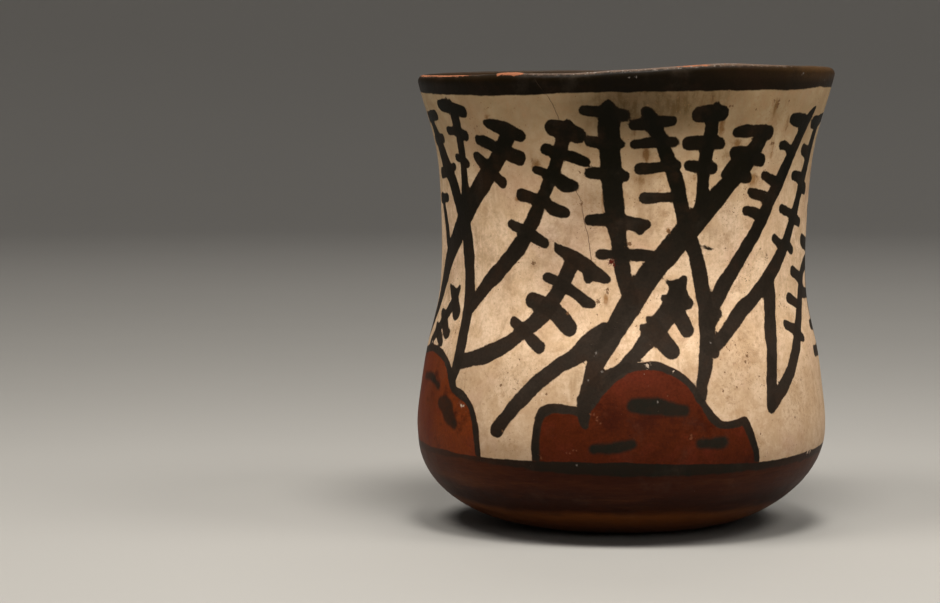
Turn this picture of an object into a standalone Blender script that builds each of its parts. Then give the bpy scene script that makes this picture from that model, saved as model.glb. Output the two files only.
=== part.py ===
# Ancient hand-built painted clay vessel: a tall open cup with a thin uneven lip,
# a gently drawn-in waist, a full belly and a small flat foot.
# Metres, +Z up. The foot stands on z = 0 with the vessel's axis on the origin,
# and the painted front looks along -Y.

import math

import bmesh
import bpy
from mathutils import Vector

COLLECTION_NAME = "ceramic_vase"
NODE_NAME = "vase"

# Outline of the outer wall: radius and height of the points that pull a smooth spline
LIP_EDGE = (0.0611, 0.1314)
LIP_FLARE = (0.0600, 0.1265)
NECK_LOW = (0.0555, 0.1140)
WAIST_TOP = (0.0543, 0.1000)
WAIST = (0.0534, 0.0820)
WAIST_FOOT = (0.0538, 0.0660)
SHOULDER = (0.0580, 0.0530)
BELLY_TOP = (0.0595, 0.0400)
BELLY = (0.0615, 0.0260)
BOWL = (0.0560, 0.0105)
BOWL_FOOT = (0.0365, 0.0)
FOOT_EDGE = (0.0220, 0.0)
OUTLINE = (
    LIP_EDGE, LIP_FLARE, NECK_LOW, WAIST_TOP, WAIST, WAIST_FOOT,
    SHOULDER, BELLY_TOP, BELLY, BOWL, BOWL_FOOT, FOOT_EDGE,
)

# Clay thickness at the lip, through the wall and under the floor
LIP_THICKNESS = 0.0036
WALL_THICKNESS = 0.0045
FLOOR_THICKNESS = 0.0075

# Fineness of the solid
TURN_STEPS = 64
POINTS_PER_SPAN = 3
LIP_POINTS = 7
MERGE_DISTANCE = 0.00005

# Unevenness left by the potter's hands
RIM_WAVE_EASE = 1.5
LEAN = 0.0011
LEAN_START_HEIGHT = 0.030
BOWL_SWELL = 0.0011
WALL_LUMP = 0.00012
LUMP_CLIMB = 40.0
RIM_WAVE_START_HEIGHT = 0.095
RIM_TILT = 0.0010
RIM_OVAL = 0.0006
RIM_OVAL_TURN = math.radians(35)
RIM_BUMP = 0.0008
RIM_BUMP_ANGLE = math.radians(27)
RIM_BUMP_WIDTH = math.radians(14)
RIM_DIP = 0.0005
RIM_DIP_ANGLE = math.radians(-14)
RIM_DIP_WIDTH = math.radians(12)

SLIP_COLOUR = (0.56, 0.44, 0.32, 1.0)
SLIP_ROUGHNESS = 0.5


def clear_scene():
    for old_object in list(bpy.data.objects):
        bpy.data.objects.remove(old_object, do_unlink=True)


def smooth_ramp(value, low, high):
    share = min(max((value - low) / (high - low), 0.0), 1.0)
    return share * share * (3.0 - 2.0 * share)


def linear_ramp(value, low, high):
    return min(max((value - low) / (high - low), 0.0), 1.0)


def outer_wall(collection):
    """Outline from just under the lip down to the edge of the foot."""
    curve = bpy.data.curves.new("outline", "CURVE")
    curve.dimensions = "3D"
    spline = curve.splines.new("NURBS")
    spline.points.add(len(OUTLINE) - 1)
    for control, (radius, height) in zip(spline.points, OUTLINE):
        control.co = (radius, 0.0, height, 1.0)
    spline.order_u = 4
    spline.use_endpoint_u = True
    spline.resolution_u = POINTS_PER_SPAN
    guide = bpy.data.objects.new("outline", curve)
    collection.objects.link(guide)
    depsgraph = bpy.context.evaluated_depsgraph_get()
    mesh = bpy.data.meshes.new_from_object(guide.evaluated_get(depsgraph))
    points = [Vector((corner.co.x, corner.co.z)) for corner in mesh.vertices]
    bpy.data.objects.remove(guide, do_unlink=True)
    bpy.data.meshes.remove(mesh)
    return points


def clay_thickness(height):
    at_wall = smooth_ramp(height, FOOT_EDGE[1], BELLY[1])
    at_lip = smooth_ramp(height, WAIST[1], LIP_EDGE[1])
    below = FLOOR_THICKNESS + (WALL_THICKNESS - FLOOR_THICKNESS) * at_wall
    return below + (LIP_THICKNESS - WALL_THICKNESS) * at_lip


def inner_wall(outer):
    """The same outline moved inwards by the clay's thickness, from the floor up."""
    inner = []
    last = len(outer) - 1
    for index, point in enumerate(outer):
        downwards = outer[min(index + 1, last)] - outer[max(index - 1, 0)]
        inward = Vector((downwards.y, -downwards.x)).normalized()
        if index == last:
            inward = Vector((0.0, 1.0))
        inner.append(point + inward * clay_thickness(point.y))
    return inner[::-1]


def lip_curve(inner_edge, outer_edge):
    """Half round over the top of the wall, without its two end points."""
    centre = (inner_edge + outer_edge) / 2
    radius = (outer_edge - inner_edge).length / 2
    start_angle = math.atan2(inner_edge.y - centre.y, inner_edge.x - centre.x)
    points = []
    for index in range(1, LIP_POINTS - 1):
        angle = start_angle - math.pi * index / (LIP_POINTS - 1)
        points.append(centre + Vector((math.cos(angle), math.sin(angle))) * radius)
    return points


def vessel_profile(collection):
    outer = outer_wall(collection)
    inner = inner_wall(outer)
    floor_centre = Vector((0.0, inner[0].y))
    foot_centre = Vector((0.0, 0.0))
    lip = lip_curve(inner[-1], outer[0])
    return [floor_centre] + inner + lip + outer + [foot_centre]


def turn_profile(profile, collection):
    mesh = bpy.data.meshes.new("turned_profile")
    corners = [(point.x, 0.0, point.y) for point in profile]
    edges = [(index, index + 1) for index in range(len(corners) - 1)]
    mesh.from_pydata(corners, edges, [])
    turned = bpy.data.objects.new("turned_profile", mesh)
    collection.objects.link(turned)
    screw = turned.modifiers.new("turn", "SCREW")
    screw.axis = "Z"
    screw.angle = math.tau
    screw.steps = TURN_STEPS
    screw.render_steps = TURN_STEPS
    screw.use_merge_vertices = True
    screw.merge_threshold = MERGE_DISTANCE
    screw.use_normal_calculate = False
    return turned


def rim_lift(turn):
    """Height of the lip's wave, for an angle counted from the painted front."""
    tilt = RIM_TILT * math.sin(turn)
    oval = RIM_OVAL * math.cos(2 * (turn - RIM_OVAL_TURN))
    bump = RIM_BUMP * math.exp(-((turn - RIM_BUMP_ANGLE) / RIM_BUMP_WIDTH) ** 2)
    dip = RIM_DIP * math.exp(-((turn - RIM_DIP_ANGLE) / RIM_DIP_WIDTH) ** 2)
    return tilt + oval + bump - dip


def hand_shaped(place):
    """Move a point of the true turned form to where the hand-built wall has it."""
    turn = math.atan2(place.x, -place.y)
    radius = math.hypot(place.x, place.y)
    height = place.z
    lift = rim_lift(turn) * linear_ramp(height, RIM_WAVE_START_HEIGHT, LIP_EDGE[1]) ** RIM_WAVE_EASE
    lean = LEAN * linear_ramp(height, LEAN_START_HEIGHT, LIP_EDGE[1])
    belly_share = linear_ramp(height, FOOT_EDGE[1], BELLY[1])
    bowl_share = math.sin(math.pi * math.sqrt(belly_share))
    lumps = math.sin(3 * turn + LUMP_CLIMB * height) + math.sin(5 * turn - LUMP_CLIMB * height)
    if radius > FOOT_EDGE[0]:
        radius -= BOWL_SWELL * bowl_share * math.sin(turn)
        radius += WALL_LUMP * belly_share * lumps
    return Vector((radius * math.sin(turn) + lean, -radius * math.cos(turn), height + lift))


def make_material():
    material = bpy.data.materials.new("painted_clay")
    material.use_nodes = True
    shader = material.node_tree.nodes["Principled BSDF"]
    shader.inputs["Base Color"].default_value = SLIP_COLOUR
    shader.inputs["Roughness"].default_value = SLIP_ROUGHNESS
    shader.inputs["Metallic"].default_value = 0.0
    return material


def make_vessel(collection):
    turned = turn_profile(vessel_profile(collection), collection)
    depsgraph = bpy.context.evaluated_depsgraph_get()
    mesh = bpy.data.meshes.new_from_object(turned.evaluated_get(depsgraph))
    bpy.data.objects.remove(turned, do_unlink=True)

    shape = bmesh.new()
    shape.from_mesh(mesh)
    bmesh.ops.remove_doubles(shape, verts=shape.verts, dist=MERGE_DISTANCE)
    for corner in shape.verts:
        corner.co = hand_shaped(corner.co)
    shape.to_mesh(mesh)
    shape.free()

    mesh.name = NODE_NAME
    mesh.shade_smooth()
    mesh.materials.clear()
    mesh.materials.append(make_material())
    vessel = bpy.data.objects.new(NODE_NAME, mesh)
    collection.objects.link(vessel)
    return vessel


def main():
    clear_scene()
    collection = bpy.data.collections.new(COLLECTION_NAME)
    bpy.context.scene.collection.children.link(collection)
    make_vessel(collection)


main()
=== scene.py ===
import math

import bmesh
import bpy
import numpy as np
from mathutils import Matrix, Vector, noise


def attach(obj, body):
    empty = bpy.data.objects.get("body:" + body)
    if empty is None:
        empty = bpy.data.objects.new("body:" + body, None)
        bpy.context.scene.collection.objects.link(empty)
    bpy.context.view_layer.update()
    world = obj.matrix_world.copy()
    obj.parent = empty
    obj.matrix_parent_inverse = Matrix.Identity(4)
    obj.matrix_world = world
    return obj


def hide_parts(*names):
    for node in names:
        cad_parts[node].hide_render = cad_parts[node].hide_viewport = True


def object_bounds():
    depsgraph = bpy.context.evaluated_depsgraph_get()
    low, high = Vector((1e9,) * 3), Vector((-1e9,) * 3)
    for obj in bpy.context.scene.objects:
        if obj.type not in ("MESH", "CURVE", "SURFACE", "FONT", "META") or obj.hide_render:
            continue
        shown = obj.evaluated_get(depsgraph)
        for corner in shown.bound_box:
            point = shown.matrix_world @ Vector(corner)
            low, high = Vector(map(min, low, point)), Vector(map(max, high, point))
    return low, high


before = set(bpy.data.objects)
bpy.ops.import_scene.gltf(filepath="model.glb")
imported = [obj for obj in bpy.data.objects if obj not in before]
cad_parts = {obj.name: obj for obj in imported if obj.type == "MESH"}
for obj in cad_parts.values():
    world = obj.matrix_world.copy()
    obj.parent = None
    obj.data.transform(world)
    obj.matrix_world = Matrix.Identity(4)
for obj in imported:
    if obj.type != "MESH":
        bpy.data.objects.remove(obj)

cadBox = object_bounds()
print("frame loaded")


# small helpers shared by the geometry tree and the materials
def addNode(tree, kind, **settings):
    node = tree.nodes.new(kind)
    count = len(tree.nodes)
    node.location = (190 * (count // 7), -170 * (count % 7))  # tidy columns in the editor
    for name, value in settings.items():
        setattr(node, name, value)
    return node


def feed(tree, socket, value):
    # a socket gets a link, anything else becomes its own value
    if isinstance(value, bpy.types.NodeSocket):
        tree.links.new(value, socket)
    elif value is not None:
        socket.default_value = value


def feedAll(tree, sockets, **values):
    for name, value in values.items():
        feed(tree, sockets[name], value)


def calc(tree, operation, first, second=None, third=None, clamp=False):
    node = addNode(tree, "ShaderNodeMath", operation=operation, use_clamp=clamp)
    for socket, value in zip(node.inputs, (first, second, third)):
        feed(tree, socket, value)
    return node.outputs[0]


def times(tree, first, second):
    return calc(tree, "MULTIPLY", first, second)


def plus(tree, first, second):
    return calc(tree, "ADD", first, second)


def minus(tree, first, second):
    return calc(tree, "SUBTRACT", first, second)


def timesPlus(tree, first, second, third):
    return calc(tree, "MULTIPLY_ADD", first, second, third)


def mapped(tree, value, low, high, atLow=0.0, atHigh=1.0, shape="SMOOTHSTEP"):
    # the value's range from low to high becomes atLow to atHigh, held at both ends
    node = addNode(tree, "ShaderNodeMapRange", interpolation_type=shape)
    for socket, part in zip(node.inputs, (value, low, high, atLow, atHigh)):
        feed(tree, socket, part)
    return node.outputs[0]


def newTree(name, kind, inputs, outputs):
    # an input is (label, kind of socket, value), the value only where it has one
    tree = bpy.data.node_groups.new(name, kind)
    for direction, sockets in (("INPUT", inputs), ("OUTPUT", outputs)):
        for label, socketKind, *value in sockets:
            socket = tree.interface.new_socket(
                name=label, in_out=direction, socket_type="NodeSocket" + socketKind)
            if value:
                socket.default_value = value[0]
    return tree, addNode(tree, "NodeGroupInput").outputs, addNode(tree, "NodeGroupOutput").inputs


# the clay form
vesselForm = {
    # radius and height, in metres, of the points that pull the smooth outer curve
    "outline": [
        (0.0611, 0.1314), (0.0600, 0.1265), (0.0555, 0.1140), (0.0543, 0.1000),
        (0.0534, 0.0820), (0.0538, 0.0660), (0.0580, 0.0530), (0.0595, 0.0400),
        (0.0615, 0.0260), (0.0560, 0.0105), (0.0365, 0.0), (0.0220, 0.0),
    ],
    "lipThickness": 0.0036,
    "wallThickness": 0.0045,
    "floorThickness": 0.0075,
    "thinFromHeight": 0.0820,  # the wall thins from here up to the lip
    "lipHeight": 0.1314,
    "bellyHeight": 0.0260,
    "paintedFrom": 0.0190,  # finer rows above this height, where the painting is
    "paintedStep": 0.00085,
    "bowlStep": 0.0020,
    "footStep": 0.0045,
    "insideStep": 0.0025,
    "lipPoints": 12,
    "turnSteps": 400,
    # what the potter's hands left; angles in radians from the painted front
    "shaping": {
        "Lean": 0.0011,
        "Lean From": 0.030,
        "Bowl Swell": 0.0011,
        "Belly Height": 0.026,
        "Foot Radius": 0.022,
        "Wall Lump": 0.00012,
        "Lump Climb": 40.0,
        "Rim Height": 0.1314,
        "Rim Wave From": 0.095,
        "Rim Wave Ease": 1.5,
        "Rim Tilt": 0.0010,
        "Rim Oval": 0.0006,
        "Rim Oval Turn": math.radians(35),
        "Rim Bump": 0.0008,
        "Rim Bump Turn": math.radians(27),
        "Rim Bump Width": math.radians(14),
        "Rim Dip": 0.0005,
        "Rim Dip Turn": math.radians(-14),
        "Rim Dip Width": math.radians(12),
        "Weld": 0.00002,
    },
    # dents of pressing and scraping, and ripples along the lip: places in mm, depths and lifts in metres
    "hands": {
        "dents": [(0.030, 0.00010), (0.011, 0.000045)],  # size and depth
        "dentsBelow": 0.25,
        "dentsFrom": 3,
        "dentsEaseLow": 14,
        "dentsUpTo": 131.0,
        "dentsEaseHigh": 8,
        "lipRipples": 9,
        "lipRippleSlice": 3.7,
        "lipRippleLift": 0.00010,
        "lipRippleReach": 5.0,
        "lipSink": 0.00004,
        "lipSinkFrom": 120,
    },
}


def smoothRamp(value, low, high):
    share = min(max((value - low) / (high - low), 0.0), 1.0)
    return share * share * (3.0 - 2.0 * share)


def clayThickness(form, height):
    body = form["floorThickness"]
    body += (form["wallThickness"] - body) * smoothRamp(height, 0.0, form["bellyHeight"])
    thinning = smoothRamp(height, form["thinFromHeight"], form["lipHeight"])
    return body + (form["lipThickness"] - form["wallThickness"]) * thinning


def outerCurve(form):
    # a clamped spline pulled by the outline's points, as a fine line of points
    curve = bpy.data.curves.new("outline", "CURVE")
    curve.dimensions = "3D"
    spline = curve.splines.new("NURBS")
    spline.points.add(len(form["outline"]) - 1)
    for control, (radius, height) in zip(spline.points, form["outline"]):
        control.co = (radius, 0.0, height, 1.0)
    spline.order_u = 4
    spline.use_endpoint_u = True
    spline.resolution_u = 48
    guide = bpy.data.objects.new("outline", curve)
    bpy.context.scene.collection.objects.link(guide)
    depsgraph = bpy.context.evaluated_depsgraph_get()
    mesh = bpy.data.meshes.new_from_object(guide.evaluated_get(depsgraph))
    points = [Vector((corner.co.x, corner.co.z)) for corner in mesh.vertices]
    bpy.data.objects.remove(guide, do_unlink=True)
    bpy.data.meshes.remove(mesh)
    return points


def evenlySpaced(points, step):
    # the same line with its points about a step apart, ends kept
    places = np.array([tuple(point) for point in points])
    along = np.concatenate([[0.0], np.cumsum(np.linalg.norm(np.diff(places, axis=0), axis=1))])
    wanted = np.linspace(0.0, along[-1], max(int(round(along[-1] / step)), 1) + 1)
    return [Vector((np.interp(w, along, places[:, 0]), np.interp(w, along, places[:, 1]))) for w in wanted]


def vesselProfile(form):
    # floor centre, up the inside, over the lip, down the outside, foot centre
    outer = outerCurve(form)
    inner = []
    for index, point in enumerate(outer):
        downwards = outer[min(index + 1, len(outer) - 1)] - outer[max(index - 1, 0)]
        inward = Vector((downwards.y, -downwards.x)).normalized()
        if index == len(outer) - 1:
            inward = Vector((0.0, 1.0))
        inner.append(point + inward * clayThickness(form, point.y))
    middle = (inner[0] + outer[0]) / 2
    lipRadius = (outer[0] - inner[0]).length / 2
    startAngle = math.atan2(inner[0].y - middle.y, inner[0].x - middle.x)
    lip = []
    for index in range(1, form["lipPoints"]):
        angle = startAngle - math.pi * index / form["lipPoints"]
        lip.append(middle + Vector((math.cos(angle), math.sin(angle))) * lipRadius)

    painted = [point for point in outer if point.y >= form["paintedFrom"]]
    bowl = [painted[-1]] + [point for point in outer if 0.0 < point.y < form["paintedFrom"]] + [outer[-1]]
    footCentre = Vector((0.0, 0.0))
    floorCentre = Vector((0.0, inner[-1].y))
    inside = evenlySpaced([floorCentre] + inner[::-1], form["insideStep"])
    outside = evenlySpaced(painted, form["paintedStep"])
    outside += evenlySpaced(bowl, form["bowlStep"])[1:]
    outside += evenlySpaced([outer[-1], footCentre], form["footStep"])[1:]
    rows = inside + lip + outside
    crest = len(inside) + len(lip) // 2
    return rows, crest, len(inside)


def turningTree(form):
    # turns a profile line round the axis, then bends it as the potter's hands did
    inputs = [("Geometry", "Geometry"), ("Turn Steps", "Int", form["turnSteps"])]
    inputs += [(label, "Float", value) for label, value in form["shaping"].items()]
    inputs += [("First Outer Row", "Float", 0.0), ("Outer Clay", "Material"), ("Inner Clay", "Material")]
    tree, given, result = newTree("turnedVessel", "GeometryNodeTree", inputs, [("Geometry", "Geometry")])

    def step(kind, geometry, settings=None, **values):
        node = addNode(tree, kind, **(settings or {}))
        feedAll(tree, node.inputs, Geometry=geometry, **values)
        return node.outputs["Geometry"]

    def store(geometry, label, value):
        pointValue = {"data_type": "FLOAT", "domain": "POINT"}
        return step("GeometryNodeStoreNamedAttribute", geometry, pointValue, Name=label, Value=value)

    def named(label):
        node = addNode(tree, "GeometryNodeInputNamedAttribute", data_type="FLOAT")
        feedAll(tree, node.inputs, Name=label)
        return node.outputs["Attribute"]

    # the profile line carries its row, radius and height
    index = addNode(tree, "GeometryNodeInputIndex").outputs[0]
    place = addNode(tree, "ShaderNodeSeparateXYZ")
    feed(tree, place.inputs[0], addNode(tree, "GeometryNodeInputPosition").outputs[0])
    profile = store(given["Geometry"], "row", index)
    profile = store(profile, "reach", place.outputs["X"])
    profile = store(profile, "rise", place.outputs["Z"])
    line = addNode(tree, "GeometryNodeMeshToCurve")
    feed(tree, line.inputs[0], profile)

    # the ring carries the turn, -pi to pi with 0 at the painted front
    ring = addNode(tree, "GeometryNodeCurvePrimitiveCircle", mode="RADIUS")
    feed(tree, ring.inputs["Resolution"], given["Turn Steps"])
    share = calc(tree, "DIVIDE", index, given["Turn Steps"])
    path = store(ring.outputs["Curve"], "turn", timesPlus(tree, share, math.tau, -math.pi))
    sweep = addNode(tree, "GeometryNodeCurveToMesh")
    feed(tree, sweep.inputs["Curve"], path)
    feed(tree, sweep.inputs["Profile Curve"], line.outputs[0])

    turn = named("turn")
    radius = named("reach")
    rise = named("rise")
    sine = calc(tree, "SINE", turn)
    cosine = calc(tree, "COSINE", turn)

    def bump(label):
        # one soft rise of the lip, from its size, turn and width
        away = calc(tree, "DIVIDE", minus(tree, turn, given[label + " Turn"]), given[label + " Width"])
        power = times(tree, times(tree, away, away), -1.0)
        return times(tree, given[label], calc(tree, "EXPONENT", power))

    # the lip's wave
    oval = minus(tree, turn, given["Rim Oval Turn"])
    oval = calc(tree, "COSINE", times(tree, oval, 2.0))
    wave = times(tree, given["Rim Tilt"], sine)
    wave = timesPlus(tree, given["Rim Oval"], oval, wave)
    wave = plus(tree, wave, bump("Rim Bump"))
    wave = minus(tree, wave, bump("Rim Dip"))
    upper = mapped(tree, rise, given["Rim Wave From"], given["Rim Height"], shape="LINEAR")
    lift = times(tree, wave, calc(tree, "POWER", upper, given["Rim Wave Ease"]))

    # the lean of the wall, the fuller side of the bowl and the low lumps
    leaning = mapped(tree, rise, given["Lean From"], given["Rim Height"], shape="LINEAR")
    lean = times(tree, given["Lean"], leaning)
    belly = mapped(tree, rise, 0.0, given["Belly Height"], shape="LINEAR")
    bowl = calc(tree, "SINE", times(tree, calc(tree, "SQRT", belly), math.pi))
    swell = times(tree, times(tree, given["Bowl Swell"], bowl), sine)
    climb = times(tree, rise, given["Lump Climb"])
    threeLumps = calc(tree, "SINE", timesPlus(tree, turn, 3.0, climb))
    fiveLumps = calc(tree, "SINE", minus(tree, times(tree, turn, 5.0), climb))
    lumps = times(tree, times(tree, plus(tree, threeLumps, fiveLumps), belly), given["Wall Lump"])
    pastFoot = calc(tree, "GREATER_THAN", radius, given["Foot Radius"])
    radius = plus(tree, radius, times(tree, minus(tree, lumps, swell), pastFoot))

    goal = addNode(tree, "ShaderNodeCombineXYZ")
    feedAll(tree, goal.inputs, X=timesPlus(tree, radius, sine, lean),
            Y=times(tree, times(tree, radius, cosine), -1.0), Z=plus(tree, rise, lift))
    shape = step("GeometryNodeSetPosition", sweep.outputs[0], Position=goal.outputs[0])
    shape = step("GeometryNodeMergeByDistance", shape, Distance=given["Weld"])
    shape = step("GeometryNodeSetShadeSmooth", shape)
    shape = step("GeometryNodeRealizeInstances", shape)
    inside = calc(tree, "LESS_THAN", named("row"), given["First Outer Row"])
    shape = step("GeometryNodeSetMaterial", shape, Material=given["Outer Clay"])
    shape = step("GeometryNodeSetMaterial", shape, Selection=inside, Material=given["Inner Clay"])
    feed(tree, result["Geometry"], shape)
    return tree


def turnVessel(form, outerClay, innerClay):
    rows, crest, firstOuter = vesselProfile(form)
    line = bpy.data.meshes.new("vesselProfile")
    line.from_pydata([(row.x, 0.0, row.y) for row in rows], [(i, i + 1) for i in range(len(rows) - 1)], [])
    vessel = bpy.data.objects.new("paintedVessel", line)
    bpy.context.scene.collection.objects.link(vessel)
    tree = turningTree(form)
    turning = vessel.modifiers.new("turning", "NODES")
    turning.node_group = tree
    settings = dict(form["shaping"])
    settings["Turn Steps"] = form["turnSteps"]
    settings["First Outer Row"] = firstOuter - 0.5
    settings["Outer Clay"] = outerClay
    settings["Inner Clay"] = innerClay
    for item in tree.interface.items_tree:
        if item.name in settings and item.in_out == "INPUT":
            turning[item.identifier] = settings[item.name]

    depsgraph = bpy.context.evaluated_depsgraph_get()
    mesh = bpy.data.meshes.new_from_object(
        vessel.evaluated_get(depsgraph), preserve_all_data_layers=True, depsgraph=depsgraph)
    vessel.modifiers.clear()
    vessel.data = mesh
    mesh.name = "paintedVessel"
    bpy.data.meshes.remove(line)

    body = bmesh.new()
    body.from_mesh(mesh)
    bmesh.ops.recalc_face_normals(body, faces=body.faces)
    body.to_mesh(mesh)
    body.free()
    return vessel, rows, crest, firstOuter


def readField(mesh, name):
    values = np.zeros(len(mesh.vertices), np.float32)
    mesh.attributes[name].data.foreach_get("value", values)
    return values.astype(float)


def wallMap(vessel, rows, crest):
    # where each vertex lies on the turned wall: degrees from the front, and millimetres
    mesh = vessel.data
    row = np.rint(readField(mesh, "row")).astype(int)
    radii = np.array([point.x for point in rows]) * 1000
    rises = np.array([point.y for point in rows]) * 1000
    along = np.concatenate([[0.0], np.cumsum(np.hypot(np.diff(radii), np.diff(rises)))])
    return {
        "row": row,
        "turn": np.degrees(readField(mesh, "turn")),
        "radius": radii[row],
        "perDegree": radii[row] * math.radians(1),  # mm round the wall
        "rise": rises[row],
        "pastLip": (along - along[crest])[row],  # below 0 inside, above 0 outside
    }


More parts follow.
